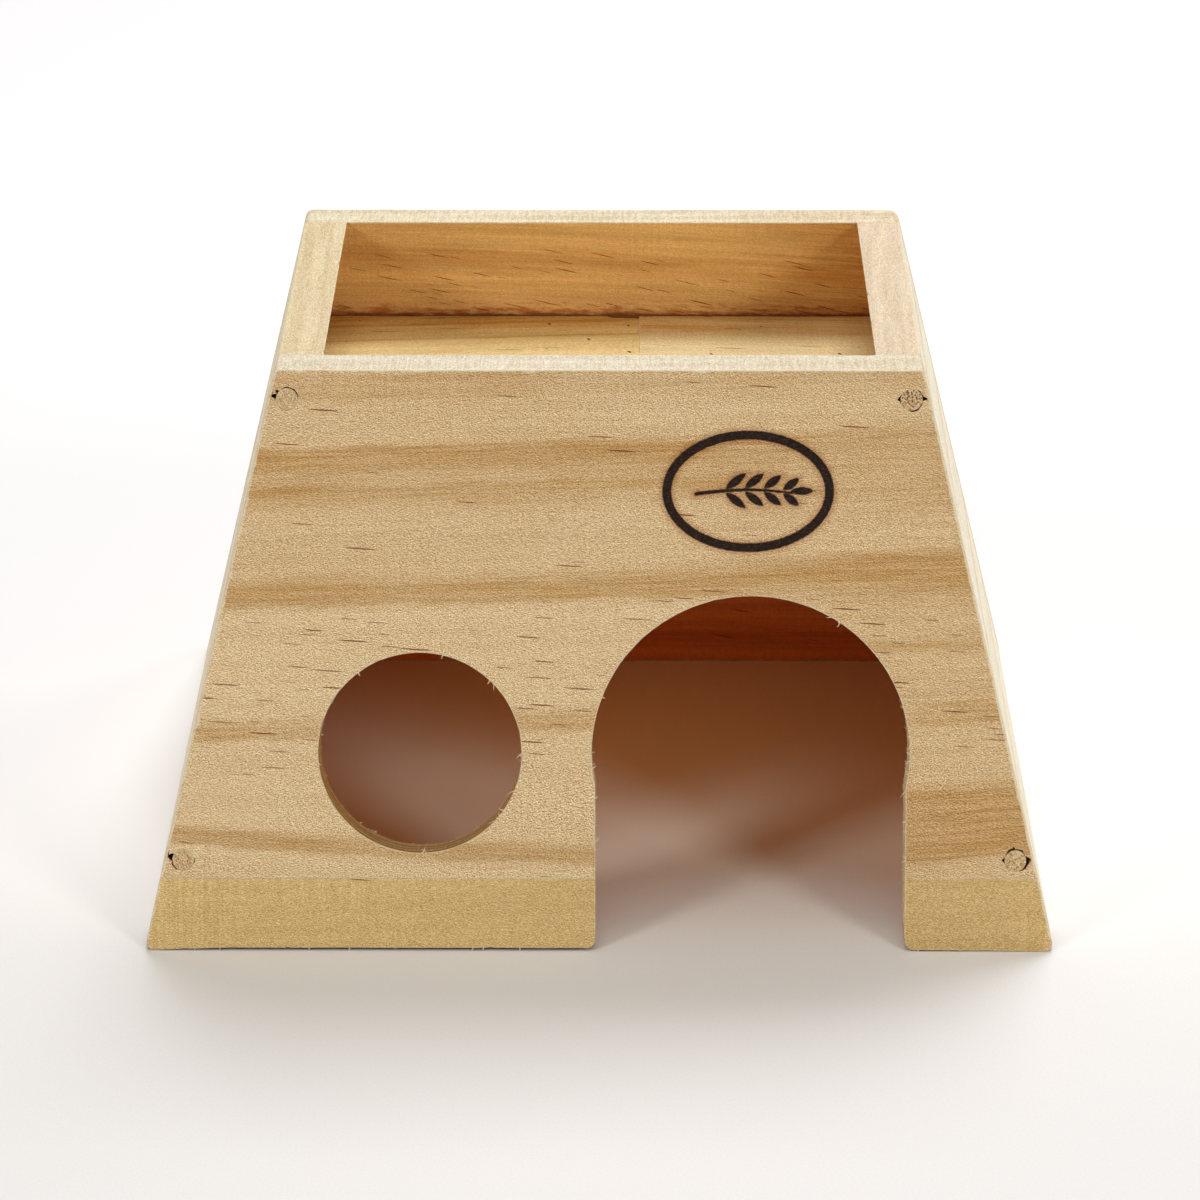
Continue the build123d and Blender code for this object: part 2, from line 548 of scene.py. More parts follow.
    def bristle(
        self, line: Outline, where: Array, count: int, length: float, seed: int, level: float = 0.12
    ) -> None:
        """Leaves loose fibres on an outline: three-sided spikes that curl and taper.

        With h out of the wood, s along the edge and t from 0 to 1, a spike's middle line is
        base + l * (t * (h + a * s) + b * t^2 * s), at a depth of d + c * l * t.

        Args:
            line: The outline.
            where: True for the points that may carry a fibre.
            count: How many fibres.
            length: Greatest length.
            seed: Seed of their places and curls.
            level: Depth that they start at.
        """
        rng = np.random.default_rng(seed)
        start = rng.choice(np.flatnonzero(where), count)
        ahead = -mitres(line.points)[start, None]
        aside = np.stack([-ahead[..., 1], ahead[..., 0]], axis=2)
        lean, bend, sink, reach = rng.uniform(*self.FIBRE_BENDS, (count, 4)).T
        reach = length * reach[:, None, None]
        t = np.linspace(0, 1, self.FIBRE_POINTS)[:, None]
        sideways = lean[:, None, None] * t + bend[:, None, None] * t**2
        root = line.points[start, None] - self.FIBRE_ROOT * ahead
        middle = root + reach * (t * ahead + sideways * aside)
        angle = circle(self.FIBRE_SIDES)
        thick = self.FIBRE_THICK * (1 - self.FIBRE_TAPER * t)
        place = middle[:, :, None] + (thick * np.cos(angle))[..., None] * aside[:, :, None]
        depth = level + reach * sink[:, None, None] * t + thick * np.sin(angle)
        bare = np.full(depth.shape, self.FIBRE_BARE)
        index = self._add(place[..., 0], place[..., 1], depth, worn=bare)
        turned = np.roll(index, -1, axis=2)
        quads = np.stack([index[:, :-1], turned[:, :-1], turned[:, 1:], index[:, 1:]], axis=-1)
        caps = np.concatenate([index[:, 0, ::-1], index[:, -1]])
        self.faces += quads.reshape(-1, 4).tolist() + caps.tolist()

    def fill(self, spacing: float, relief: "Relief", detail: Array | None = None) -> None:
        """Closes both faces with triangles between their loops and a lattice of points.

        Args:
            spacing: Lattice spacing.
            relief: How deep the outer and inner faces dip.
            detail: More points on the outer face, of shape (n, 2), that replace the lattice near them.
        """
        for loops, outer in ((self.outer_loops, True), (self.inner_loops, False)):
            lines = [points for points, _ in loops]
            inner_points = [lattice(lines, spacing)]
            for points in lines:
                support = points + mitres(points) * self.SUPPORT
                inner_points.append(support[within(support, lines)])
            extra = np.concatenate(inner_points)
            if outer and detail is not None:
                low = detail.min(axis=0) - self.DETAIL_MARGIN
                high = detail.max(axis=0) + self.DETAIL_MARGIN
                clear = np.any((extra < low) | (extra > high), axis=1)
                extra = np.concatenate([extra[clear], detail])
            dip = relief.dip(extra, outer)
            depth = dip if outer else self.thickness - dip
            added = self._add(extra[:, 0], extra[:, 1], depth)
            known = np.concatenate([*(index for _, index in loops), added])
            flat = np.concatenate([*lines, extra])
            borders, base = [], 0
            for points in lines:
                ring = base + np.arange(len(points))
                borders += np.stack([ring, np.roll(ring, -1)], axis=1).tolist()
                base += len(points)
            spots = [Vector(spot) for spot in flat.tolist()]
            made = delaunay_2d_cdt(spots, borders, [], 0, SAME_POINT, True)
            source = np.array([origin[0] if origin else -1 for origin in made[3]])
            triangles = source[np.array(made[2])]
            if source.min() < 0:
                log.warning("lines cross at %s", [made[0][i] for i in np.flatnonzero(source < 0)][:4])
                triangles = triangles[triangles.min(axis=1) >= 0]
            triangles = triangles[within(flat[triangles].mean(axis=1), lines)]
            self.faces += known[triangles if outer else triangles[:, ::-1]].tolist()

    def finished(
        self, name: str, grain: "GrainMap", extra: dict[str, Array] | None = None
    ) -> Thing:
        """Makes the object, which rides on the root body.

        Args:
            name: The piece's name.
            grain: Turns a place in the board into a place in its grain.
            extra: More vertex values, by name.

        Returns:
            The new object.
        """
        place = np.concatenate(self.places)
        vertices = self.axes.place(place[:, 0], place[:, 1], place[:, 2])
        vertices = np.clip(vertices, CAD_BOX[0], CAD_BOX[1])
        values = {key: np.concatenate(runs) for key, runs in self.values.items()}
        return piece(name, vertices, self.faces, {"grain": grain.read(place), **values, **(extra or {})})


@dataclass(frozen=True)
class ToolStep:
    """A groove that a spinning cutter left round a bored wall, at a depth below the face."""

    WAVES = (60.0, 9.0)  # longest and shortest

    depth: float
    width: float
    cut_depth: float
    waver: float
    seed: int

    def cut(self, level: Array, travelled: Array) -> Array:
        """How far wall points lie back from the bore: a bell curve round the groove, which wavers."""
        middle = self.depth + self.waver * wavering(travelled, *self.WAVES, self.seed)
        return self.cut_depth * np.exp(-(((level - middle) / self.width) ** 2))


@dataclass(frozen=True)
class Relief:
    """A sanded face's slight hollows: two crossed pairs of cosines, never above the true face."""

    SWELLS = ((0, 0.7), (0, 1.9), (1, 1.3), (1, 2.7))  # axis, and wave number over that of the length
    INNER_SEED = 50

    depth: float = 0.05
    length: float = 47.0
    seed: int = 1

    def dip(self, points: Array, outer: bool) -> Array:
        """How deep a face is hollowed: d (2 + (c1 + c2) / 2 + (c3 + c4) / 2) / 4.

        Args:
            points: Places on the face, of shape (n, 2).
            outer: Whether it is the outer face.

        Returns:
            Depths.
        """
        rng = np.random.default_rng(self.seed + (0 if outer else self.INNER_SEED))
        phases = rng.uniform(0, 2 * pi, len(self.SWELLS))
        wave = 2 * pi / self.length
        swells = [
            np.cos(points[:, axis] * wave * number + phase)
            for (axis, number), phase in zip(self.SWELLS, phases)
        ]
        along, over = swells[0] + swells[1], swells[2] + swells[3]
        hollow = self.depth * (2 + 0.5 * along + 0.5 * over) / 4
        return hollow + self.recess(points) if outer else hollow

    def recess(self, points: Array) -> Array:
        """What is pressed into the outer face: nothing."""
        return np.zeros(len(points))


@dataclass(frozen=True)
class GrainMap:
    """Where a place in a board lies in its grain: along the fibres, over the growth bands, through.

    The bands climb by `climb` mm for each mm along and rise by `bow` mm in the middle. In the board's
    lower part the `low_` values take their place, with a smooth change between two levels.
    """

    climb: float = 0.0
    low_climb: float = 0.0
    change_low: float = 20.0
    change_high: float = 36.0
    bow: float = 0.0
    low_bow: float = 0.0
    bow_span: float = 150.0

    def read(self, place: Array) -> Array:
        """The grain's own coordinates for places in a board.

        Args:
            place: Across, up and depth, of shape (n, 3).

        Returns:
            Along, over and through, of shape (n, 3).
        """
        along, over, through = place.T
        high = smoothstep(self.change_low, self.change_high, over)
        climb = self.low_climb + (self.climb - self.low_climb) * high
        bow = self.low_bow + (self.bow - self.low_bow) * high
        over = over - climb * along - bow * np.cos(along * pi / self.bow_span)
        return np.stack([along, over, through], axis=1)


def linked(name: str, data: bpy.types.ID) -> Thing:
    """A new object in the scene that shows some data."""
    made = bpy.data.objects.new(name, data)
    bpy.context.scene.collection.objects.link(made)
    return made


def piece(name: str, vertices: Array, faces: list[list[int]], values: dict[str, Array]) -> Thing:
    """A smooth-shaded object at the origin that rides on the root body.

    Args:
        name: The piece's name.
        vertices: Places in metres, of shape (n, 3).
        faces: Vertex indices of each face, anticlockwise from outside.
        values: One or three numbers for each vertex, by attribute name.

    Returns:
        The new object.
    """
    mesh = bpy.data.meshes.new(name)
    mesh.from_pydata(vertices.tolist(), [], faces)
    for attribute, numbers in values.items():
        vector = numbers.ndim == 2
        layer = mesh.attributes.new(attribute, "FLOAT_VECTOR" if vector else "FLOAT", "POINT")
        layer.data.foreach_set("vector" if vector else "value", numbers.astype(np.float32).ravel())
    mesh.polygons.foreach_set("use_smooth", np.ones(len(mesh.polygons), bool))
    mesh.update()
    made = linked(name, mesh)
    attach(made, "root")
    return made


# ---------- Nodes ----------


@dataclass(frozen=True)
class Tone:
    """A colour by its three screen values, from 0 to 255."""

    red: float
    green: float
    blue: float

    def linear(self) -> tuple[float, float, float, float]:
        """The same colour as shader numbers, by the sRGB curve."""
        screen = np.array([self.red, self.green, self.blue]) / 255
        light = np.where(screen <= 0.04045, screen / 12.92, ((screen + 0.055) / 1.055) ** 2.4)
        return (*light.tolist(), 1.0)


Socket = bpy.types.NodeSocket
Feed = Socket | Tone | float | tuple[float, ...]
Feeds = dict[str | int, Feed]


class Nodes:
    """Writes nodes into one tree and joins them up."""

    SHADE_TINT = (0.75, 1.05, 1.4)

    def __init__(self, tree: Group) -> None:
        """Keeps the tree that the nodes go into."""
        self.tree = tree

    def feed(self, socket: Socket, value: Feed) -> None:
        """Links a socket, or sets its own value."""
        if isinstance(value, Socket):
            self.tree.links.new(value, socket)
        else:
            socket.default_value = value.linear() if isinstance(value, Tone) else value

    def add(self, kind: str, inputs: Feeds | None = None, **settings: object) -> bpy.types.Node:
        """Adds a node.

        Args:
            kind: The node's type name, without "ShaderNode".
            inputs: What goes into its sockets, by name or number.
            **settings: The node's own properties.

        Returns:
            The node.
        """
        node = self.tree.nodes.new("ShaderNode" + kind)
        for key, value in settings.items():
            setattr(node, key, value)
        for key, value in (inputs or {}).items():
            self.feed(node.inputs[key], value)
        return node

    def math(self, operation: str, first: Feed, second: Feed = 0.0, third: Feed = 0.0) -> Socket:
        """One arithmetic step."""
        return self.add("Math", {0: first, 1: second, 2: third}, operation=operation).outputs[0]

    def times(self, first: Feed, second: Feed) -> Socket:
        """first * second."""
        return self.math("MULTIPLY", first, second)

    def plus(self, first: Feed, second: Feed) -> Socket:
        """first + second."""
        return self.math("ADD", first, second)

    def minus(self, first: Feed, second: Feed) -> Socket:
        """first - second."""
        return self.math("SUBTRACT", first, second)

    def times_plus(self, value: Feed, factor: Feed, more: Feed) -> Socket:
        """value * factor + more."""
        return self.math("MULTIPLY_ADD", value, factor, more)

    def around(self, value: Feed, amount: float) -> Socket:
        """(value - 0.5) * amount."""
        return self.times_plus(value, amount, -0.5 * amount)

    def step(self, value: Feed, low: Feed, high: Feed) -> Socket:
        """Smoothstep of a value between two limits, which may be the wrong way round."""
        inputs: Feeds = {"Value": value, "From Min": low, "From Max": high}
        return self.add("MapRange", inputs, interpolation_type="SMOOTHSTEP").outputs[0]

    def split(self, vector: Feed) -> list[Socket]:
        """The three numbers of a vector."""
        return list(self.add("SeparateXYZ", {0: vector}).outputs)

    def joined(self, along: Feed, over: Feed, through: Feed = 0.0) -> Socket:
        """The vector of three numbers."""
        return self.add("CombineXYZ", {0: along, 1: over, 2: through}).outputs[0]

    def scaled(self, vector: Feed, factors: Feed) -> Socket:
        """A vector times three factors."""
        return self.add("VectorMath", {0: vector, 1: factors}, operation="MULTIPLY").outputs[0]

    def moved(self, vector: Feed, offset: Triple) -> Socket:
        """A vector plus an offset."""
        return self.add("VectorMath", {0: vector, 1: offset}, operation="ADD").outputs[0]

    def brightened(self, colour: Feed, factor: Feed) -> Socket:
        """A colour times one number."""
        return self.add("VectorMath", {0: colour, "Scale": factor}, operation="SCALE").outputs[0]

    def shaded(self, colour: Feed, shade: Feed) -> Socket:
        """A colour times 1 + shade, a little more in its blue and less in its red."""
        inputs: Feeds = {0: shade, 1: self.SHADE_TINT, 2: (1.0, 1.0, 1.0)}
        return self.scaled(colour, self.add("VectorMath", inputs, operation="MULTIPLY_ADD").outputs[0])

    def noise(self, vector: Feed, detail: float, roughness: float = 0.5, scale: float = 1.0) -> Socket:
        """Perlin noise of a vector, about 0 to 1."""
        inputs: Feeds = {"Vector": vector, "Scale": scale, "Detail": detail, "Roughness": roughness}
        return self.add("TexNoise", inputs).outputs["Fac"]

    def patches(self, vector: Feed, waves: Triple, detail: float, roughness: float = 0.5) -> Socket:
        """Noise with its own number of waves for each mm along, over and through."""
        return self.noise(self.scaled(vector, waves), detail, roughness)

    def mixed(self, share: Feed, first: Feed, second: Feed, blend: str = "MIX") -> Socket:
        """Two colours mixed by a share of the second."""
        inputs: Feeds = {0: share, 6: first, 7: second}
        return self.add("Mix", inputs, data_type="RGBA", blend_type=blend, clamp_factor=True).outputs[2]

    def attribute(self, name: str, output: str = "Fac") -> Socket:
        """A vertex attribute of the piece."""
        return self.add("Attribute", attribute_name=name).outputs[output]

    def placed(self, group: Group, **inputs: Feed) -> bpy.types.bpy_prop_collection:
        """A shared node group's outputs for its own inputs."""
        return self.add("Group", inputs, node_tree=group).outputs


class Effect:
    """A node group in the making, which takes the grain vector and some numbers and gives numbers."""

    def __init__(self, name: str, inputs: tuple[str, ...], outputs: tuple[str, ...]) -> None:
        """Starts the group.

        Args:
            name: The group's name.
            inputs: Names of the number inputs.
            outputs: Names of the number outputs.
        """
        self.tree = bpy.data.node_groups.new(name, "ShaderNodeTree")
        self.tree.interface.new_socket("Grain", in_out="INPUT", socket_type="NodeSocketVector")
        for side, keys in (("INPUT", inputs), ("OUTPUT", outputs)):
            for key in keys:
                self.tree.interface.new_socket(key, in_out=side, socket_type="NodeSocketFloat")
        self.nodes = Nodes(self.tree)
        self.given = self.tree.nodes.new("NodeGroupInput").outputs
        self.result = self.tree.nodes.new("NodeGroupOutput").inputs

    def out(self, name: str, value: Feed) -> None:
        """Joins a value to one of the outputs."""
        self.nodes.feed(self.result[name], value)


class Effects:
    """The wood effects that several materials share, each built once."""

    def __init__(self) -> None:
        """Builds all groups."""
        self.fibres = self._fibres()
        self.speckle = self._speckle()
        self.dashes = self._dashes()
        self.hairlines = self._hairlines()
        self.end_rings = self._end_rings()
        self.worn_arris = self._arris_wear_and_highlight()

    def _fibres(self) -> Group:
        """Streaks along the grain: noise on (along / length, over / width, through / width)."""
        effect = Effect("fibres", ("Length", "Width"), ("Streak", "Fine"))
        n, given = effect.nodes, effect.given
        along, over, through = n.split(given["Grain"])
        length, width = given["Length"], given["Width"]
        stretched = n.joined(
            n.math("DIVIDE", along, length), n.math("DIVIDE", over, width), n.math("DIVIDE", through, width)
        )
        effect.out("Streak", n.step(n.noise(stretched, 3.0, 0.6), 0.3, 0.7))
        effect.out("Fine", n.patches(stretched, (1.7, 2.6, 2.6), 2.0, 0.7))
        return effect.tree

    def _speckle(self) -> Group:
        """Fibre ends that the sanding left, in short strokes that climb a little, painted as the light and
        shade of tiny relief lit from one side: noise less the same noise half a stroke away, which leaves
        no clouds."""
        stroke, climb, half_stroke = 0.7, -0.22, (0.15, 0.5, 0.3)
        effect = Effect("speckle", ("Size",), ("Speckle",))
        n, given = effect.nodes, effect.given
        unit = n.brightened(given["Grain"], n.math("DIVIDE", 1.0, given["Size"]))
        along, over, through = n.split(unit)
        level = n.times_plus(along, climb, over)
        strokes = n.joined(n.times(along, stroke), level, through)
        beside = n.noise(n.moved(strokes, half_stroke), 0.0)
        grit = n.minus(n.noise(strokes, 0.0), beside)
        effect.out("Speckle", n.times_plus(grit, 2.0, 0.5))
        return effect.tree

    def _dashes(self) -> Group:
        """Short resin lines: stretched cells in staggered rows, a dash in the middle of each whose
        random number is under Share. Slant is how far a dash climbs for each mm along."""
        stagger, least, soft = 0.618, 0.45, 0.55
        effect = Effect("resin_dashes", ("Length", "Width", "Slant", "Share", "Size"), ("Dash",))
        n, given = effect.nodes, effect.given
        along, over, _ = n.split(given["Grain"])
        level = n.times_plus(along, given["Slant"], over)
        row = n.math("DIVIDE", level, given["Width"])
        column = n.plus(n.math("DIVIDE", along, given["Length"]), n.times(row, stagger))
        cells: Feeds = {"Vector": n.joined(column, row), "Scale": 1.0, "Randomness": 0.9}
        cell = n.add("TexVoronoi", cells, voronoi_dimensions="2D").outputs
        chance = n.add("SeparateColor", {0: cell["Color"]}).outputs
        reach = n.times(given["Size"], n.plus(least, chance[1]))
        body = n.step(cell["Distance"], reach, n.times(reach, soft))
        kept = n.math("LESS_THAN", chance[0], given["Share"])
        effect.out("Dash", n.times(body, n.times(kept, n.plus(0.65, n.times(chance[2], 0.5)))))
        return effect.tree

    def _hairlines(self) -> Group:
        """Sanding scratches: thin lines of noise stretched in a direction that climbs by Slant."""
        effect = Effect("hairlines", ("Slant", "Width"), ("Line",))
        n, given = effect.nodes, effect.given
        along, over, through = n.split(given["Grain"])
        level = n.minus(over, n.times(along, given["Slant"]))
        row = n.math("DIVIDE", level, given["Width"])
        stretched = n.joined(n.times(along, 0.06), row, through)
        effect.out("Line", n.step(n.noise(stretched, 2.0, 0.6), 0.62, 0.8))
        return effect.tree

    def _end_rings(self) -> Group:
        """Growth rings on a sawn end: the distance to the tree's heart, its remainder by the ring
        spacing raised to a power, so each ring darkens slowly and ends sharply."""
        heart, sharpness, wobble = (0.0, -38.0, 61.0), 3.0, 5.0
        effect = Effect("end_rings", ("Spacing",), ("Ring", "Pores"))
        n, given = effect.nodes, effect.given
        _, over, through = n.split(n.moved(given["Grain"], heart))
        square = n.plus(n.times(over, over), n.times(through, through))
        wander = n.patches(given["Grain"], (0.01, 0.11, 0.11), 2.0)
        radius = n.plus(n.math("SQRT", square), n.around(wander, wobble))
        turn = n.math("FRACT", n.math("DIVIDE", radius, given["Spacing"]))
        effect.out("Ring", n.math("POWER", turn, sharpness))
        pores: Feeds = {"Vector": n.scaled(given["Grain"], (0.3, 2.2, 2.2)), "Scale": 1.0}
        effect.out("Pores", n.step(n.add("TexVoronoi", pores).outputs["Distance"], 0.56, 0.3))
        return effect.tree

    def _arris_wear_and_highlight(self) -> Group:
        """How bare and pale a worn edge is, wear and a painted highlight on the arris: the vertex value
        times patchy noise.
        """
        effect = Effect("worn_arris", ("Worn",), ("Bare",))
        n, given = effect.nodes, effect.given
        patch = n.step(n.patches(given["Grain"], (0.35, 0.9, 0.9), 3.0, 0.65), 0.28, 0.62)
        effect.out("Bare", n.times(given["Worn"], n.times_plus(patch, 0.75, 0.25)))
        return effect.tree


# ---------- Finishes ----------


@dataclass(frozen=True)
class GrowthBand:
    """A band of late wood, by its level over the board in mm.

    It starts sharply at `edge` and fades out over `fade`: upwards where that is positive, downwards
    where it is negative. It keeps its strength for the share `hold` of the fade, and the sharp edge is
    `rise` wide. A negative strength is a pale band.
    """

    edge: float
    fade: float
    strength: float
    hold: float = 0.35
    rise: float = 1.2

    @property
    def levels(self) -> Array:
        """Before the edge, past the edge, the end of its hold, and where it has faded out."""
        way = 1.0 if self.fade > 0 else -1.0
        half = 0.5 * self.rise * way
        return np.array([
            self.edge - half, self.edge + half, self.edge + self.hold * self.fade, self.edge + self.fade,
        ])

    def at(self, level: Array) -> Array:
        """The band's strength at some levels: straight lines between 0, full, full and 0."""
        order = np.argsort(self.levels)
        return np.interp(level, self.levels[order], np.array([0.0, 1.0, 1.0, 0.0])[order] * self.strength)


@dataclass(frozen=True)
class Wood:
    """What the parts of one pine material share: the seeded grain vector, how strongly late wood
    shows, the streaks along the fibres and the plane's ticks across them (both about 0), the sanding's
    speckle (about 0.5), and the height above ground in metres."""

    nodes: Nodes
    effects: Effects
    grain: Socket
    late: Socket
    streaks: Socket
    ticks: Socket
    grit: Socket
    height: Socket


@dataclass(frozen=True)
class PineFinish:
    """Bare sanded pine: its colours, growth bands, and how strongly each mark of the wood shows."""

    WIDE_FIBRES = {"Length": 70.0, "Width": 2.1}  # along and over
    FINE_FIBRES = {"Length": 16.0, "Width": 0.36}
    DASH_CELLS = {"Length": 9.5, "Width": 0.62}
    SPECK_CELLS = {"Length": 5.0, "Width": 9.0, "Slant": 0.0, "Size": 0.055}
    HAIRLINE_WIDTH = 0.22
    SEED_STEPS = (173.0, 61.0, 29.0)  # between the grain of one finish and the next
    ZONE_FADE = (6.0, 2.0)  # how far a dash zone fades outside and inside its limits
    INNER_FACE = (7.2, 7.7)  # depths in the board between which the inner face begins
    BELOW_DECK = (0.0765, 0.0735)  # heights between which the cabin's painted bounce colour sets in, in metres
    ON_DECK = (0.0785, 0.0812)
    STAIN_AND_SHADE_TOP = (0.0850, 0.0820)
    JOINT_TOP = (0.0828, 0.0823)
    CORNER_RESIN_AND_SHADE = Tone(196, 128, 72)
    SCORCH = Tone(196, 132, 62)
    CHAR = Tone(25, 12, 8)
    ASH = Tone(92, 58, 36)
    SPECULAR = 0.35
    BUMP_STRENGTH = 0.5
    BUMP_DISTANCE = 0.00009

    name: str
    light: Tone
    dark: Tone
    # Inner faces take these tints over their own colour, painted light for the bounce between the boards:
    # the tray's above the deck, the cabin's orange below it.
    tray: Tone = Tone(222, 194, 134)
    cabin_painted_bounce: Tone = Tone(254, 192, 96)
    edge: Tone = Tone(240, 222, 188)
    sawn: Tone = Tone(236, 218, 180)
    bare: Tone = Tone(244, 230, 200)
    resin: Tone = Tone(150, 78, 34)
    # The next two tones darken edge walls for dust and painted shade; the second also colours specks.
    dust_and_shade_tint: Tone = Tone(206, 170, 104)
    soot_and_shade: Tone = Tone(66, 36, 16)
    bareness: float = 0.6
    bands: tuple[GrowthBand, ...] = ()
    far_bands: tuple[GrowthBand, ...] = ()
    far_from: Pair = (8.0, 52.0)
    even: float = 0.22
    band_span: float = 120.0
    band_base: float = 0.0
    wander: float = 1.2
    fray: float = 2.0
    fray_climb: float = 0.12
    streak: float = 0.07
    speckle: float = 0.95
    speckle_size: float = 0.16
    inner_speckle: float = 0.45
    edge_speckle: float = 0.65
    chatter: float = 0.09
    edge_streak: float = 2.2
    edge_figure: float = 0.0
    hairline: float = 0.05
    hairline_slant: float = 0.30
    dash_share: float = 0.05
    dash_zone: Pair = (-500.0, 500.0)
    dash_slant: float = 0.06
    dash_strength: float = 1.0
    dash_size: float = 0.23
    speck_share: float = 0.0
    corner_stain: float = 0.0
    ring_spacing: float = 3.2
    pits: float = 0.16
    seed: float = 0.0
    burned: bool = False

    def material(self, effects: Effects) -> bpy.types.Material:
        """Builds the material.

        Args:
            effects: The shared node groups.

        Returns:
            The new material.
        """
        made = bpy.data.materials.new(self.name)
        made.use_nodes = True
        n = Nodes(made.node_tree)
        shader = made.node_tree.nodes["Principled BSDF"]
        place = n.attribute("grain", "Vector")
        grain = n.moved(place, tuple(self.seed * step for step in self.SEED_STEPS))
        along, over, through = n.split(place)
        band = self._banding(n, grain, along, over)
        wide = n.placed(effects.fibres, Grain=grain, **self.WIDE_FIBRES)
        narrow = n.placed(effects.fibres, Grain=grain, **self.FINE_FIBRES)
        grit = n.placed(effects.speckle, Grain=grain, Size=self.speckle_size)[0]
        mottle = n.patches(grain, (0.045, 0.075, 0.075), 3.0, 0.55)
        hairline = {"Slant": self.hairline_slant, "Width": self.HAIRLINE_WIDTH}
        lines = n.placed(effects.hairlines, Grain=grain, **hairline)[0]
        late = n.times(band, n.times_plus(narrow["Streak"], 0.5, 0.75))
        streaks = n.plus(n.around(wide["Streak"], self.streak), n.around(narrow["Fine"], self.streak * 1.6))
        comb = n.patches(grain, (2.6, 0.07, 0.2), 2.0, 0.6)
        ticks = n.around(n.step(comb, 0.35, 0.65), self.chatter)
        height_above = n.split(n.add("TexCoord").outputs["Object"])[2]
        wood = Wood(n, effects, grain, late, streaks, ticks, grit, height_above)

        facing_in = n.step(through, *self.INNER_FACE)
        fewer = n.times_plus(facing_in, self.inner_speckle - 1.0, 1.0)
        specks = n.times(n.around(grit, self.speckle), fewer)
        shade = n.plus(n.plus(streaks, specks), n.around(mottle, 0.045))
        shade = n.minus(shade, n.times(lines, self.hairline))
        shade = n.plus(shade, n.times(n.step(mottle, 0.45, 0.62), ticks))
        colour = n.shaded(n.mixed(late, self.light, self.dark), shade)
        dash = self._dashes(wood, over)
        colour = n.mixed(n.times(dash, self.dash_strength), colour, self.resin, "MULTIPLY")
        if self.speck_share:
            dots = n.placed(effects.dashes, Grain=grain, Share=self.speck_share, **self.SPECK_CELLS)[0]
            colour = n.mixed(n.times(dots, 1.6), colour, self.soot_and_shade)

        # Painted light: inner faces tinted with the tray tone above the deck and the cabin's orange below
        # it.
        painted_inner_light = n.mixed(n.step(height_above, *self.BELOW_DECK), self.tray, self.cabin_painted_bounce)
        inner = n.brightened(n.mixed(1.0, colour, painted_inner_light, "MULTIPLY"), n.plus(1.0, n.times(streaks, 1.4)))
        if self.corner_stain:
            inner = self._stained_corner(wood, inner)
        colour = n.mixed(facing_in, colour, inner)
        colour = n.mixed(n.attribute("flank"), colour, self._planed(wood))
        colour = self._sawn_end(wood, colour)
        # Worn arrises go towards the bare tone: wear and a painted highlight.
        bare = n.placed(effects.worn_arris, Grain=grain, Worn=n.attribute("worn"))[0]
        colour = n.mixed(n.times(bare, self.bareness), colour, self.bare)
        # Edge walls darken with dust and painted shade: a tint, then near black, in gaps, holes and
        # grooves.
        stain = n.attribute("stain")
        colour = n.mixed(n.times(stain, 2.0), colour, self.dust_and_shade_tint, "MULTIPLY")
        colour = n.mixed(n.times_plus(stain, 2.0, -1.0), colour, self.soot_and_shade)
        rough = n.times_plus(narrow["Streak"], 0.16, 0.56)
        height = n.plus(n.times(narrow["Fine"], 0.55), n.times(grit, 0.14))
        height = n.minus(height, n.times(dash, 0.2))
        height = n.minus(height, n.times(lines, 0.35))
        if self.burned:
            colour, rough, height = self._burn(wood, colour, rough, height)
        n.feed(shader.inputs["Base Color"], colour)
        n.feed(shader.inputs["Roughness"], rough)
        shader.inputs["Specular IOR Level"].default_value = self.SPECULAR
        relief: Feeds = {"Height": height, "Strength": self.BUMP_STRENGTH, "Distance": self.BUMP_DISTANCE}
        n.feed(shader.inputs["Normal"], n.add("Bump", relief).outputs[0])
        return made

    def _banding(self, n: Nodes, grain: Socket, along: Socket, over: Socket) -> Socket:
        """The growth bands over the level, which wanders slowly and frays in strokes that climb the
        board. Past `far_from` mm along, the far bands take the others' place.

        Args:
            n: The tree's nodes.
            grain: The seeded grain vector.
            along: The place along the fibres.
            over: The level over the bands.

        Returns:
            How strongly late wood shows, from 0 to 1.
        """
        slow = n.patches(grain, (0.021, 0.06, 0.03), 2.0)
        parts = n.split(grain)
        climbing = n.times_plus(parts[0], -self.fray_climb, parts[1])
        quick = n.noise(n.joined(n.times(parts[0], 0.06), climbing, parts[2]), 3.0, 0.6)
        level = n.plus(n.plus(over, n.around(slow, self.wander * 2)), n.around(quick, self.fray))
        strength = self._ramp(n, level, self.bands)
        if self.far_bands:
            far = self._ramp(n, level, self.far_bands)
            moved = n.step(along, *self.far_from)
            strength = n.plus(n.times(far, moved), n.times(strength, n.minus(1.0, moved)))
        patchy = n.step(n.patches(grain, (0.028, 0.10, 0.05), 2.0), 0.25, 0.6)
        return n.times(strength, n.times_plus(patchy, 0.3, 0.8))

    def _ramp(self, n: Nodes, level: Socket, bands: tuple[GrowthBand, ...]) -> Socket:
        """One colour ramp that holds the sum of some bands and the even strength between them.

        Args:
            n: The tree's nodes.
            level: The level over the bands.
            bands: Up to seven bands, which may overlap.

        Returns:
            The strength at the level.
        """
        share = n.math("DIVIDE", n.minus(level, self.band_base), self.band_span)
        ramp = n.add("ValToRGB", {0: share})
        ends = np.array([self.band_base, self.band_base + self.band_span])
        levels = np.unique(np.clip(np.concatenate([ends, *(band.levels for band in bands)]), *ends))
        total = sum((band.at(levels) for band in bands), np.zeros(len(levels)))
        values = np.clip(self.even + total, 0, 1)
        elements = ramp.color_ramp.elements
        ramp.color_ramp.interpolation = "EASE"
        while len(elements) < len(levels):
            elements.new(0.5)
        for element, place, value in zip(elements, (levels - ends[0]) / self.band_span, values):
            element.position = place
            element.color = (value, value, value, 1.0)
        return ramp.outputs["Color"]

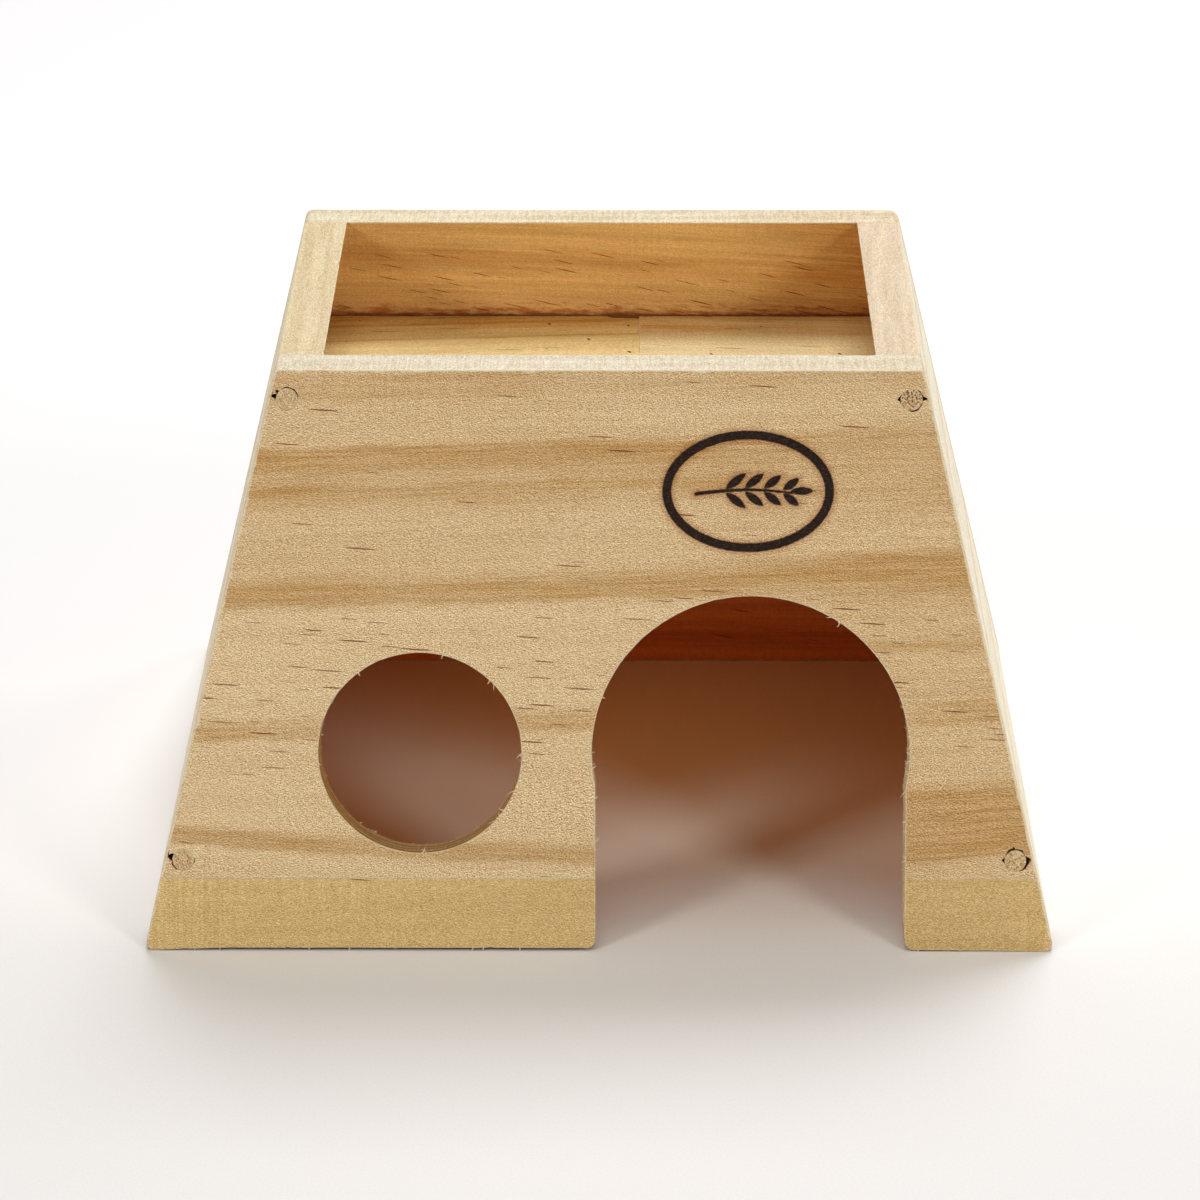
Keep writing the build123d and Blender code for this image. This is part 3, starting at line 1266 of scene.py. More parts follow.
    def _dashes(self, wood: Wood, over: Socket) -> Socket:
        """The resin dashes, most of them between the two levels of the dash zone.

        Args:
            wood: The material's shared sockets.
            over: The level over the bands.

        Returns:
            How dark a dash is, from 0 to about 1.
        """
        n = wood.nodes
        (low, high), (outside, inside) = self.dash_zone, self.ZONE_FADE
        above = n.step(over, low - outside, low + inside)
        zone = n.times(above, n.step(over, high + outside, high - inside))
        share = n.times(n.times_plus(zone, 0.9, 0.1), self.dash_share)
        look = {"Slant": self.dash_slant, "Share": share, "Size": self.dash_size, **self.DASH_CELLS}
        return n.placed(wood.effects.dashes, Grain=wood.grain, **look)[0]

    def _planed(self, wood: Wood) -> Socket:
        """The colour of a planed edge: streaks along the fibres, the comb of the plane across them,
        and where it has a figure, growth lines that run slantwise and waver.

        Args:
            wood: The material's shared sockets.

        Returns:
            The colour.
        """
        n = wood.nodes
        fine = n.around(wood.grit, self.speckle * self.edge_speckle)
        shade = n.plus(n.times(wood.streaks, self.edge_streak), fine)
        shade = n.plus(shade, n.times(wood.ticks, 2.0))
        darker = n.times(wood.late, 0.25)
        if self.edge_figure:
            slant, spacing, sharpness, bend = 0.11, 3.4, 6.0, 7.0
            parts = n.split(wood.grain)
            waver = n.patches(wood.grain, (0.05, 0.2, 0.2), 3.0, 0.6)
            level = n.plus(n.times_plus(parts[0], slant, parts[2]), n.around(waver, bend))
            line = n.math("POWER", n.math("FRACT", n.math("DIVIDE", level, spacing)), sharpness)
            darker = n.plus(darker, n.times(line, self.edge_figure))
        return n.shaded(n.mixed(darker, self.edge, self.dark), shade)

    def _stained_corner(self, wood: Wood, colour: Socket) -> Socket:
        """The inner colour with resin and painted shade in an uneven line of strokes just above the deck,
        and dust and painted shade in the joint itself, where the corner falls into shade.

        Args:
            wood: The material's shared sockets.
            colour: The inner colour.

        Returns:
            The new colour.
        """
        n = wood.nodes
        uneven = n.patches(wood.grain, (0.24, 1.1, 0.5), 3.0, 0.7)
        on_deck = n.step(wood.height, *self.ON_DECK)
        near = n.times(n.step(n.plus(wood.height, n.around(uneven, -0.009)), *self.STAIN_AND_SHADE_TOP), on_deck)
        colour = n.mixed(n.times(near, self.corner_stain), colour, self.CORNER_RESIN_AND_SHADE, "MULTIPLY")
        joint = n.times(n.step(n.plus(wood.height, n.around(uneven, -0.0016)), *self.JOINT_TOP), on_deck)
        return n.mixed(n.times(joint, 0.5), colour, self.soot_and_shade)

    def _sawn_end(self, wood: Wood, colour: Socket) -> Socket:
        """The colour with rings and pores laid over it where the fibres are cut across.

        Args:
            wood: The material's shared sockets.
            colour: The colour elsewhere.

        Returns:
            The new colour.
        """
        n = wood.nodes
        ends = n.placed(wood.effects.end_rings, Grain=wood.grain, Spacing=self.ring_spacing)
        ringed = n.mixed(n.times(ends["Ring"], 0.5), self.sawn, self.dark)
        pits = n.times(ends["Pores"], n.times_plus(n.attribute("pitted"), 0.9, self.pits))
        pitted = n.shaded(ringed, n.minus(n.around(wood.grit, self.speckle), pits))
        return n.mixed(n.attribute("sawn"), colour, pitted)

    def _burn(self, wood: Wood, colour: Socket, rough: Socket, height: Socket) -> tuple[Socket, ...]:
        """Lays the branding iron's char and scorch over the wood, from the signed distance to its
        strokes that each vertex carries.

        Args:
            wood: The material's shared sockets.
            colour: The wood's colour.
            rough: Its roughness.
            height: Its bump height.

        Returns:
            The new colour, roughness and bump height.
        """
        n = wood.nodes
        fray = n.patches(wood.grain, (1.3, 3.4, 3.4), 3.0, 0.6)
        distance = n.plus(n.attribute("burn"), n.around(fray, 0.34))
        char = n.step(distance, 0.10, -0.16)
        scorch = n.times(n.step(distance, 1.15, 0.0), 0.42)
        ash = n.step(n.patches(wood.grain, (1.6, 4.4, 4.4), 3.0, 0.7), 0.46, 0.8)
        burnt = n.mixed(ash, self.CHAR, self.ASH)
        colour = n.mixed(scorch, colour, self.SCORCH, "MULTIPLY")
        colour = n.mixed(char, colour, burnt)
        rough = n.plus(rough, n.times(char, 0.2))
        return colour, rough, n.plus(height, n.times(n.times(char, ash), 0.8))


# ---------- The boards ----------


JOINT_EASE = 0.06  # sanding of an edge that another board meets
JOINT_GAP = 0.015
JOINT_ROUND = 0.12
SPACING = 0.55  # between the points of an outline
FACE_SPACING = 3.0  # between those of a face
BURR_DEPTH = 0.3  # how far above the inner face its loose fibres start


@dataclass(frozen=True)
class Openings:
    """The front's doorway and window, in mm across and up the face."""

    carcass: Carcass
    level: float = 36.5
    doorway_diameter: float = 57.3
    doorway_step: float = 0.65
    doorway_margin: float = 18.0
    doorway_points: int = 190
    window_diameter: float = 36.6
    window_gap: float = 12.7
    window_points: int = 230
    # The window's wall is darkened: dust and painted shade, most in the tool's grooves.
    window_stain: float = 0.32
    ease: float = 0.18

    @property
    def doorway_across(self) -> float:
        """The doorway's centre."""
        return self.carcass.half_width(self.level) - self.doorway_margin - self.doorway_diameter / 2

    @property
    def half_passage(self) -> float:
        """Half of the straight part's width."""
        return self.doorway_diameter / 2 - self.doorway_step

    @property
    def window_across(self) -> float:
        """The window's centre."""
        doorway_side = self.doorway_across - self.doorway_diameter / 2
        return doorway_side - self.window_gap - self.window_diameter / 2

    def head(self) -> list[Corner]:
        """The doorway's round head, from the left side of the passage over the top to the right.

        Returns:
            Corners on the circle, close enough to read as round.
        """
        radius = self.doorway_diameter / 2
        low = -np.arccos(self.half_passage / radius)
        angles = np.linspace(pi - low, low, self.doorway_points)
        across = [self.doorway_across + radius * cos(angle) for angle in angles]
        up = [self.level + radius * sin(angle) for angle in angles]
        return [Corner(a, s, **eased(self.ease, self.ease)) for a, s in zip(across, up)]

    def window(self) -> Outline:
        """The window's outline, both of its edges chipped.

        Returns:
            The outline.
        """
        radius = np.full(self.window_points, self.window_diameter / 2)
        hole = bored(self.window_across, self.level, radius, self.ease, self.window_stain)
        return hole.roughened(0.35, 31).chipped(26, 0.5, 32).chipped(24, 0.9, 33, inner=True)


def apart(angle: Array, bearing: float) -> Array:
    """How far angles in radians are from a bearing in degrees, the short way round."""
    return np.abs(np.angle(np.exp(1j * (angle - radians(bearing)))))


@dataclass(frozen=True)
class TornRim:
    """Where a drilled rim stands off its pin: (angle, half angle, width) in degrees and mm.

    Gaps are arcs of even width, and tears are wedges that the drill pulled out along the grain.
    """

    WAVES = (5.0, 0.35)  # longest and shortest wave of the unevenness
    WAVE_SCALE = 2.0  # length of the rim for each radian, near enough
    UNEVENNESS = 0.5
    GAP_LIMITS = (0.2, 2.0)
    TEAR_LIMITS = (0.4, 1.6)
    PLATEAU = 0.6  # share of a gap over which it is fully open

    gaps: tuple[Triple, ...]
    tears: tuple[Triple, ...]

    def opened(self, angle: Array, seed: int) -> Array:
        """How far the rim stands off at each angle: a plateau for a gap, a triangle for a tear.

        Args:
            angle: Angles round the hole, in radians.
            seed: Seed of the small unevenness.

        Returns:
            Distances.
        """
        uneven = 1 + self.UNEVENNESS * wavering(np.unwrap(angle) * self.WAVE_SCALE, *self.WAVES, seed)
        opened = np.zeros_like(angle)
        for centre, half, width in self.gaps:
            plateau = smoothstep(radians(half), radians(half) * self.PLATEAU, apart(angle, centre))
            opened += width * plateau * np.clip(uneven, *self.GAP_LIMITS)
        for centre, half, width in self.tears:
            wedge = np.clip(1 - apart(angle, centre) / radians(half), 0, 1)
            opened += width * wedge * np.clip(uneven, *self.TEAR_LIMITS)
        return opened


PIN_RIMS = {
    "upper_left": TornRim(
        ((62.0, 62.0, 0.24), (250.0, 40.0, 0.05)), ((166.0, 15.0, 1.1), (140.0, 12.0, 0.7))
    ),
    "upper_right": TornRim(
        ((-62.0, 50.0, 0.20), (28.0, 34.0, 0.16)), ((3.0, 12.0, 0.9), (178.0, 26.0, 0.45))
    ),
    "lower_left": TornRim(((214.0, 28.0, 0.26), (-6.0, 20.0, 0.16)), ((166.0, 21.0, 1.5),)),
    "lower_right": TornRim(
        ((92.0, 66.0, 0.36), (-28.0, 40.0, 0.34)), ((8.0, 20.0, 0.7), (176.0, 17.0, 0.6))
    ),
}


@dataclass(frozen=True)
class PinPlaces:
    """Where the dowel pins stand on the front and back faces, in mm."""

    carcass: Carcass
    diameter: float = 4.0
    length: float = 22.0
    edge_inset: float = 3.3
    top_inset: float = 5.3
    foot_inset: float = 16.8
    rim_grip: float = 0.05
    rim_ease: float = 0.03
    # The pin holes' walls are darkened: painted shade in the gaps round the pins.
    rim_stain: float = 0.6
    rim_points: int = 180

    def all(self) -> dict[str, Pair]:
        """Where each pin stands.

        Returns:
            Places across and up the face, by level and side as seen square to that face.
        """
        spots = {}
        for level, slope in (("upper", self.carcass.slope - self.top_inset), ("lower", self.foot_inset)):
            reach = self.carcass.half_width(slope) - self.edge_inset
            spots[f"{level}_left"] = (-reach, slope)
            spots[f"{level}_right"] = (reach, slope)
        return spots

    def hole(self, across: float, up: float, rim: TornRim, seed: int) -> Outline:
        """A drilled hole that fits its pin except where its rim gapes or is torn."""
        radius = self.diameter / 2 - self.rim_grip + rim.opened(-circle(self.rim_points), seed)
        return bored(across, up, radius, self.rim_ease, self.rim_stain)


@dataclass(frozen=True)
class BurnedMark:
    """A branding iron's plain sprig in an oval ring, pressed a little way into the face, in mm."""

    across: float = 26.65
    up: float = 84.1
    half_width: float = 15.4
    half_height: float = 11.0
    stroke: float = 1.7
    stem_stroke: float = 0.62
    stem_reach: float = 8.6
    leaf_pairs: int = 4
    leaf_length: float = 2.15
    leaf_width: float = 0.78
    leaf_angle: float = 38.0
    leaf_span: Pair = (-0.48, 0.72)
    leaf_sizes: Pair = (1.12, 0.86)
    leaf_foot: float = 0.25
    tip: Pair = (1.0, 0.1)
    stem_bend: float = 0.9
    stem_drop: float = 0.6
    stem_wave: float = 2.4
    stem_start: float = -0.7
    stem_taper: Pair = (1.25, 0.5)
    depth: float = 0.24
    margin: float = 1.5
    burn_limits: Pair = (-1.5, 3.0)
    deep: float = 2.0

    def _stem_level(self, across: Array) -> Array:
        """The stem's middle line: b cos(pi x / (w r)) - d, with r its reach."""
        return self.stem_bend * np.cos(across * pi / (self.stem_wave * self.stem_reach)) - self.stem_drop

    def distance(self, points: Array) -> Array:
        """Signed distance to the burned strokes, negative inside them.

        The ring's is |k - 1| k / |p / (a^2, b^2)| less half a stroke, with k = |p / (a, b)|. A leaf
        is where two circles of radius (l^2 + w^2) / 2w overlap.

        Args:
            points: Places on the face, of shape (n, 2).

        Returns:
            Distances.
        """
        at = points - np.array([self.across, self.up])
        half = np.array([self.half_width, self.half_height]) - self.stroke / 2
        k = np.linalg.norm(at / half, axis=1)
        steepness = np.maximum(np.linalg.norm(at / half**2, axis=1), 1e-6)
        ring = np.abs(k - 1) * k / steepness - self.stroke / 2
        beyond = np.maximum(np.abs(at[:, 0] - self.stem_start) - self.stem_reach, 0)
        thick, thinning = self.stem_taper
        along_stem = (at[:, 0] + self.stem_reach) / (2 * self.stem_reach)
        taper = self.stem_stroke / 2 * (thick - thinning * along_stem)
        stem = np.hypot(at[:, 1] - self._stem_level(at[:, 0]), beyond) - taper
        feet = np.linspace(*self.leaf_span, self.leaf_pairs) * self.stem_reach
        tilt = radians(self.leaf_angle)
        length = self.leaf_length * np.linspace(*self.leaf_sizes, self.leaf_pairs)
        centre_x = np.tile(feet + cos(tilt) * length, 2)
        side = np.repeat([1.0, -1.0], self.leaf_pairs)
        rise = self._stem_level(np.tile(feet, 2))
        centre_y = rise + side * sin(tilt) * np.tile(length, 2) + side * self.leaf_foot
        centre_x = np.append(centre_x, self.stem_reach + self.tip[0])
        centre_y = np.append(centre_y, self.tip[1])
        turn = np.append(side * tilt, 0.0)
        length = np.append(np.tile(length, 2), self.leaf_length)
        offset = at[:, :, None] - np.stack([centre_x, centre_y])
        along = offset[:, 0] * np.cos(turn) + offset[:, 1] * np.sin(turn)
        over = -offset[:, 0] * np.sin(turn) + offset[:, 1] * np.cos(turn)
        radius = (length**2 + self.leaf_width**2) / (2 * self.leaf_width)
        leaves = np.hypot(along, np.abs(over) + radius - self.leaf_width) - radius
        return np.minimum(np.minimum(ring, stem), leaves.min(axis=1))

    def burn(self, place: Array) -> Array:
        """The clipped distance to the strokes at places in the board, far off where they are deep."""
        far_off = self.burn_limits[1]
        return np.clip(self.distance(place[:, :2]), *self.burn_limits) + far_off * (place[:, 2] > self.deep)

    def mesh_points(self) -> Array:
        """Points for the face: close together along the strokes' edges and sparse elsewhere.

        Returns:
            Places on the face, of shape (n, 2).
        """
        fine_spacing, fine_reach, coarse_spacing, coarse_gap = 0.21, 0.42, 1.05, 0.95
        fine = self._grid(fine_spacing)
        fine = fine[np.abs(self.distance(fine)) < fine_reach]
        coarse = self._grid(coarse_spacing)
        coarse = coarse[np.abs(self.distance(coarse)) > coarse_gap]
        return np.concatenate([fine, coarse])

    def _grid(self, spacing: float) -> Array:
        """A staggered grid over the mark and its margin."""
        half = np.array([self.half_width, self.half_height]) + self.margin
        return staggered(-half, half, spacing) + np.array([self.across, self.up])


@dataclass(frozen=True)
class MarkedRelief(Relief):
    """A sanded face with the burned mark pressed into it."""

    WALL = (0.16, -0.2)  # distances from a stroke's edge between which the recess sinks

    mark: BurnedMark = BurnedMark()

    def recess(self, points: Array) -> Array:
        """The mark's recess, whose walls are smooth steps."""
        return self.mark.depth * smoothstep(*self.WALL, self.mark.distance(points))


@dataclass
class FrontWall:
    """The front: a main board with both openings, and the strip below it in two lengths."""

    carcass: Carcass
    openings: Openings
    pins: PinPlaces
    effects: Effects
    mark: BurnedMark = BurnedMark()
    glue_line: float = 13.4
    foot_bend: float = 15.0
    foot_lift: float = 0.5
    foot_ease: float = 0.28
    rim_round: float = 0.8
    fibre_zone: Pair = (70.0, 29.5)
    tool_steps: tuple[ToolStep, ...] = (
        ToolStep(1.3, 0.40, 0.16, 0.30, 41), ToolStep(3.4, 0.45, 0.13, 0.45, 42),
        ToolStep(5.4, 0.35, 0.15, 0.40, 43),
    )

    def build(self) -> list[Thing]:
        """Makes and dresses the three boards.

        Returns:
            The new pieces.
        """
        main = self._main_board()
        main.data.materials.append(FRONT_PINE.material(self.effects))
        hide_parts("front_board")
        made = [main]
        for side, finish in (("left", STRIP_LEFT_PINE), ("right", STRIP_RIGHT_PINE)):
            strip = self._strip(side)
            strip.data.materials.append(finish.material(self.effects))
            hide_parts(f"front_strip_{side}")
            made.append(strip)
        return made

    def _main_board(self) -> Thing:
        """The board above the glue line: outline with the doorway let in, window, and pin holes.

        Returns:
            The new piece.
        """
        c, o = self.carcass, self.openings
        rise = c.rise
        foot, rim = self.glue_line + JOINT_GAP, c.slope
        spread = sin(radians(c.lean)) * rise
        low, high = c.half_width(foot), c.half_width(rim)
        clear = c.half_clear(c.width, c.height)
        joint, hip = eased(JOINT_EASE, JOINT_EASE), eased(c.arris, JOINT_EASE)
        tray, jamb = eased(c.arris, c.arris), eased(o.ease, o.ease)
        left, right = o.doorway_across - o.half_passage, o.doorway_across + o.half_passage
        corners = [
            Corner(-low, foot, -spread, 0.0, JOINT_ROUND, **joint),
            Corner(left, foot, 0.0, 0.0, JOINT_ROUND, **jamb),
            *o.head(),
            Corner(right, foot, 0.0, 0.0, JOINT_ROUND, **joint),
            Corner(low, foot, spread, 0.0, JOINT_ROUND, **hip),
            Corner(high, rim, 0.0, rise, self.rim_round, **hip),
            Corner(clear, rim, 0.0, rise, 0.0, **tray),
            Corner(-clear, rim, 0.0, rise, 0.0, **hip),
            Corner(-high, rim, 0.0, rise, self.rim_round, **hip),
        ]
        board = Board(c.face(Wall.FRONT), c.board)
        line = traced(corners, SPACING).roughened(0.25, 11).chipped(70, 0.42, 12)
        board.edge(line)
        top, reach = self.fibre_zone
        doorway = (line.points[:, 1] < top) & (np.abs(line.points[:, 0] - o.doorway_across) < reach)
        burr = c.board - BURR_DEPTH
        board.bristle(line, doorway, 20, 1.1, 13)
        board.bristle(line, doorway, 40, 0.6, 14, burr)
        window = o.window()
        board.edge(window, self.tool_steps)
        board.bristle(window, window.stain > 0, 14, 1.1, 34)
        board.bristle(window, window.stain > 0, 50, 0.6, 35, burr)
        for number, (spot, (across, up)) in enumerate(self.pins.all().items()):
            board.edge(self.pins.hole(across, up, PIN_RIMS[spot], 60 + number))
        board.fill(FACE_SPACING, MarkedRelief(mark=self.mark, seed=3), self.mark.mesh_points())
        place = np.concatenate(board.places)
        burn = self.mark.burn(place)
        grain = GrainMap(climb=0.029, low_climb=0.0, low_bow=-3.6)
        return board.finished("pine_front", grain, {"burn": burn})

    def _strip(self, side: str) -> Thing:
        """One length of the strip below the glue line.

        Args:
            side: "left" or "right" of the doorway.

        Returns:
            The new piece.
        """
        c, o = self.carcass, self.openings
        rise, rim = c.rise, self.glue_line - JOINT_GAP
        spread = sin(radians(c.lean)) * rise
        low, high = c.half_width(0.0), c.half_width(rim)
        sign = -1 if side == "left" else 1
        jamb = o.doorway_across + sign * o.half_passage
        # The foot's run is fully darkened: a painted contact shadow under the lifted foot.
        foot, hip = eased(self.foot_ease, c.arris, 1.0), eased(c.arris, JOINT_EASE)
        door, joint = eased(o.ease, o.ease), eased(JOINT_EASE, JOINT_EASE)
        if side == "left":
            corners = [
                Corner(-low, 0.0, 0.0, rise, 1.6, **foot),
                Corner(self.foot_bend - low, self.foot_lift, 0.0, rise, 0.0, **foot),
                Corner(jamb, self.foot_lift, 0.0, rise, 1.9, **door),
                Corner(jamb, rim, 0.0, 0.0, JOINT_ROUND, **joint),
                Corner(-high, rim, -spread, 0.0, JOINT_ROUND, **hip),
            ]
        else:
            corners = [
                Corner(jamb, self.foot_lift / 2, 0.0, rise, 2.2, **foot),
                Corner(low, 0.0, 0.0, rise, 1.6, **hip),
                Corner(high, rim, spread, 0.0, JOINT_ROUND, **joint),
                Corner(jamb, rim, 0.0, 0.0, JOINT_ROUND, **door),
            ]
        board = Board(c.face(Wall.FRONT), c.board)
        line = traced(corners, SPACING * 0.8).roughened(0.25, 14 + sign).chipped(9, 0.3, 16 + sign)
        board.edge(line)
        board.bristle(line, line.points[:, 1] < 0.7, 8, 1.3, 18 + sign)
        board.fill(2.4, Relief(seed=20 + sign))
        return board.finished(f"pine_strip_{side}", GrainMap(climb=0.03, low_climb=0.03))


@dataclass
class BackWall:
    """The back: one board from side to side, pinned as the front is."""

    carcass: Carcass
    pins: PinPlaces
    effects: Effects

    def build(self) -> list[Thing]:
        """Makes and dresses the board.

        Returns:
            The new piece, in a list.
        """
        c = self.carcass
        rise, rim = c.rise, c.slope
        low, high = c.half_width(0.0), c.half_width(rim)
        clear = c.half_clear(c.width, c.height)
        clear_foot = c.half_clear(c.width, 0.0)
        bare, met = eased(c.arris, c.arris), eased(c.arris, JOINT_EASE)
        spots = (
            (-low, 0.0, 1.0, met), (-clear_foot, 0.0, 0.0, bare), (clear_foot, 0.0, 0.0, met),
            (low, 0.0, 1.0, met), (high, rim, 1.6, met), (clear, rim, 0.0, bare),
            (-clear, rim, 0.0, met), (-high, rim, 2.6, met),
        )
        corners = [Corner(across, up, 0.0, rise, radius, **ease) for across, up, radius, ease in spots]
        board = Board(c.face(Wall.BACK), c.board)
        board.edge(traced(corners, SPACING).roughened(0.2, 71).chipped(26, 0.3, 72))
        rims = list(PIN_RIMS.values())[::-1]
        for number, (across, up) in enumerate(self.pins.all().values()):
            board.edge(self.pins.hole(across, up, rims[number], 80 + number))
        board.fill(FACE_SPACING, Relief(seed=7))
        made = board.finished("pine_back", GrainMap(climb=0.05, low_climb=0.02, bow=1.6))
        made.data.materials.append(BACK_PINE.material(self.effects))
        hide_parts("back_board")
        return [made]


@dataclass
class SideWalls:
    """The left and right walls, which stand between front and back."""

    carcass: Carcass
    effects: Effects

    def build(self) -> list[Thing]:
        """Makes and dresses both boards.

        Returns:
            The new pieces.
        """
        made = []
        for side, wall, finish, seed in (
            ("left", Wall.LEFT, SIDE_LEFT_PINE, 5), ("right", Wall.RIGHT, SIDE_RIGHT_PINE, 6),
        ):
            board = self._board(wall, seed)
            grain = GrainMap(climb=0.025 if side == "left" else -0.04, low_climb=0.01, bow=1.2)
            wood = board.finished(f"pine_side_{side}", grain)
            wood.data.materials.append(finish.material(self.effects))
            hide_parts(f"side_board_{side}")
            made.append(wood)
        return made

    def _board(self, wall: Wall, seed: int) -> Board:
        """One side board, its ends cut to the lean of the front and back boards.

        Args:
            wall: Left or right.
            seed: Seed of its wear.

        Returns:
            The closed board.
        """
        c = self.carcass
        rise, rim = c.rise, c.slope
        low = c.half_clear(c.depth, 0.0) - JOINT_GAP
        high = c.half_clear(c.depth, c.height) - JOINT_GAP
        level, joint = eased(c.arris, c.arris), eased(JOINT_EASE, JOINT_EASE)
        spots = ((-low, 0.0, level), (low, 0.0, joint), (high, rim, level), (-high, rim, joint))
        corners = [Corner(across, up, 0.0, rise, JOINT_ROUND, **ease) for across, up, ease in spots]
        board = Board(c.face(wall), c.board)
        line = traced(corners, SPACING).roughened(0.2, 90 + seed).chipped(14, 0.25, 95 + seed)
        board.edge(line.chipped(16, 1.7, 97 + seed, inner=True))
        board.fill(FACE_SPACING, Relief(seed=seed))
        return board


@dataclass
class Deck:
    """The two deck boards, end to end, bevelled all round to wedge between the leaning walls."""

    carcass: Carcass
    effects: Effects
    seam: float = 7.3
    back_gap: float = 0.4
    short: float = 1.3
    step: Triple = (5.2, 6.4, 0.7)

    def build(self) -> list[Thing]:
        """Makes and dresses both boards.

        Returns:
            The new pieces.
        """
        c = self.carcass
        top = c.height - c.tray_depth
        axes = FaceFrame(np.array([0.0, 0.0, top]), *np.eye(3))
        gap = self.back_gap / cos(radians(c.lean))
        wide, front, rise = c.half_clear(c.width, top), -c.half_clear(c.depth, top), c.rise
        back = c.half_clear(c.depth, top) - gap
        made = []
        for side, finish, seed in (("left", DECK_LEFT_PINE, 1), ("right", DECK_RIGHT_PINE, 2)):
            # The deck's edges and rear run are darkened: painted shade in the gaps round the deck boards.
            edge, rear, seam = eased(0.12, 0.2, 0.6), eased(0.16, 0.2, 0.7), eased(0.04, 0.1)
            near, far, share = self.step
            if side == "left":
                corners = [
                    Corner(-wide, front, -rise, -rise, JOINT_ROUND, **edge),
                    Corner(self.seam - JOINT_GAP, front, 0.0, -rise, JOINT_ROUND, **seam),
                    Corner(self.seam - JOINT_GAP, back - self.short, 0.0, rise, JOINT_ROUND, **rear),
                    Corner(self.seam - near, back - share * self.short, 0.0, rise, 0.0, **rear),
                    Corner(self.seam - far, back, 0.0, rise, 0.0, **rear),
                    Corner(-wide, back, -rise, rise, JOINT_ROUND, **edge),
                ]
            else:
                corners = [
                    Corner(self.seam + JOINT_GAP, front, 0.0, -rise, JOINT_ROUND, **edge),
                    Corner(wide, front, rise, -rise, JOINT_ROUND, **edge),
                    Corner(wide, back, rise, rise, JOINT_ROUND, **rear),
                    Corner(self.seam + JOINT_GAP, back, 0.0, rise, JOINT_ROUND, **seam),
                ]
            board = Board(axes, c.board)
            board.edge(traced(corners, SPACING).roughened(0.5, 110 + seed).chipped(22, 0.4, 113 + seed))
            board.fill(FACE_SPACING, Relief(depth=0.03, seed=30 + seed))
            climb = 0.07 if side == "left" else -0.03
            grain = GrainMap(climb=climb, low_climb=climb, bow=0.8)
            wood = board.finished(f"pine_deck_{side}", grain)
            wood.data.materials.append(finish.material(self.effects))
            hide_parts(f"deck_board_{side}")
            made.append(wood)
        return made


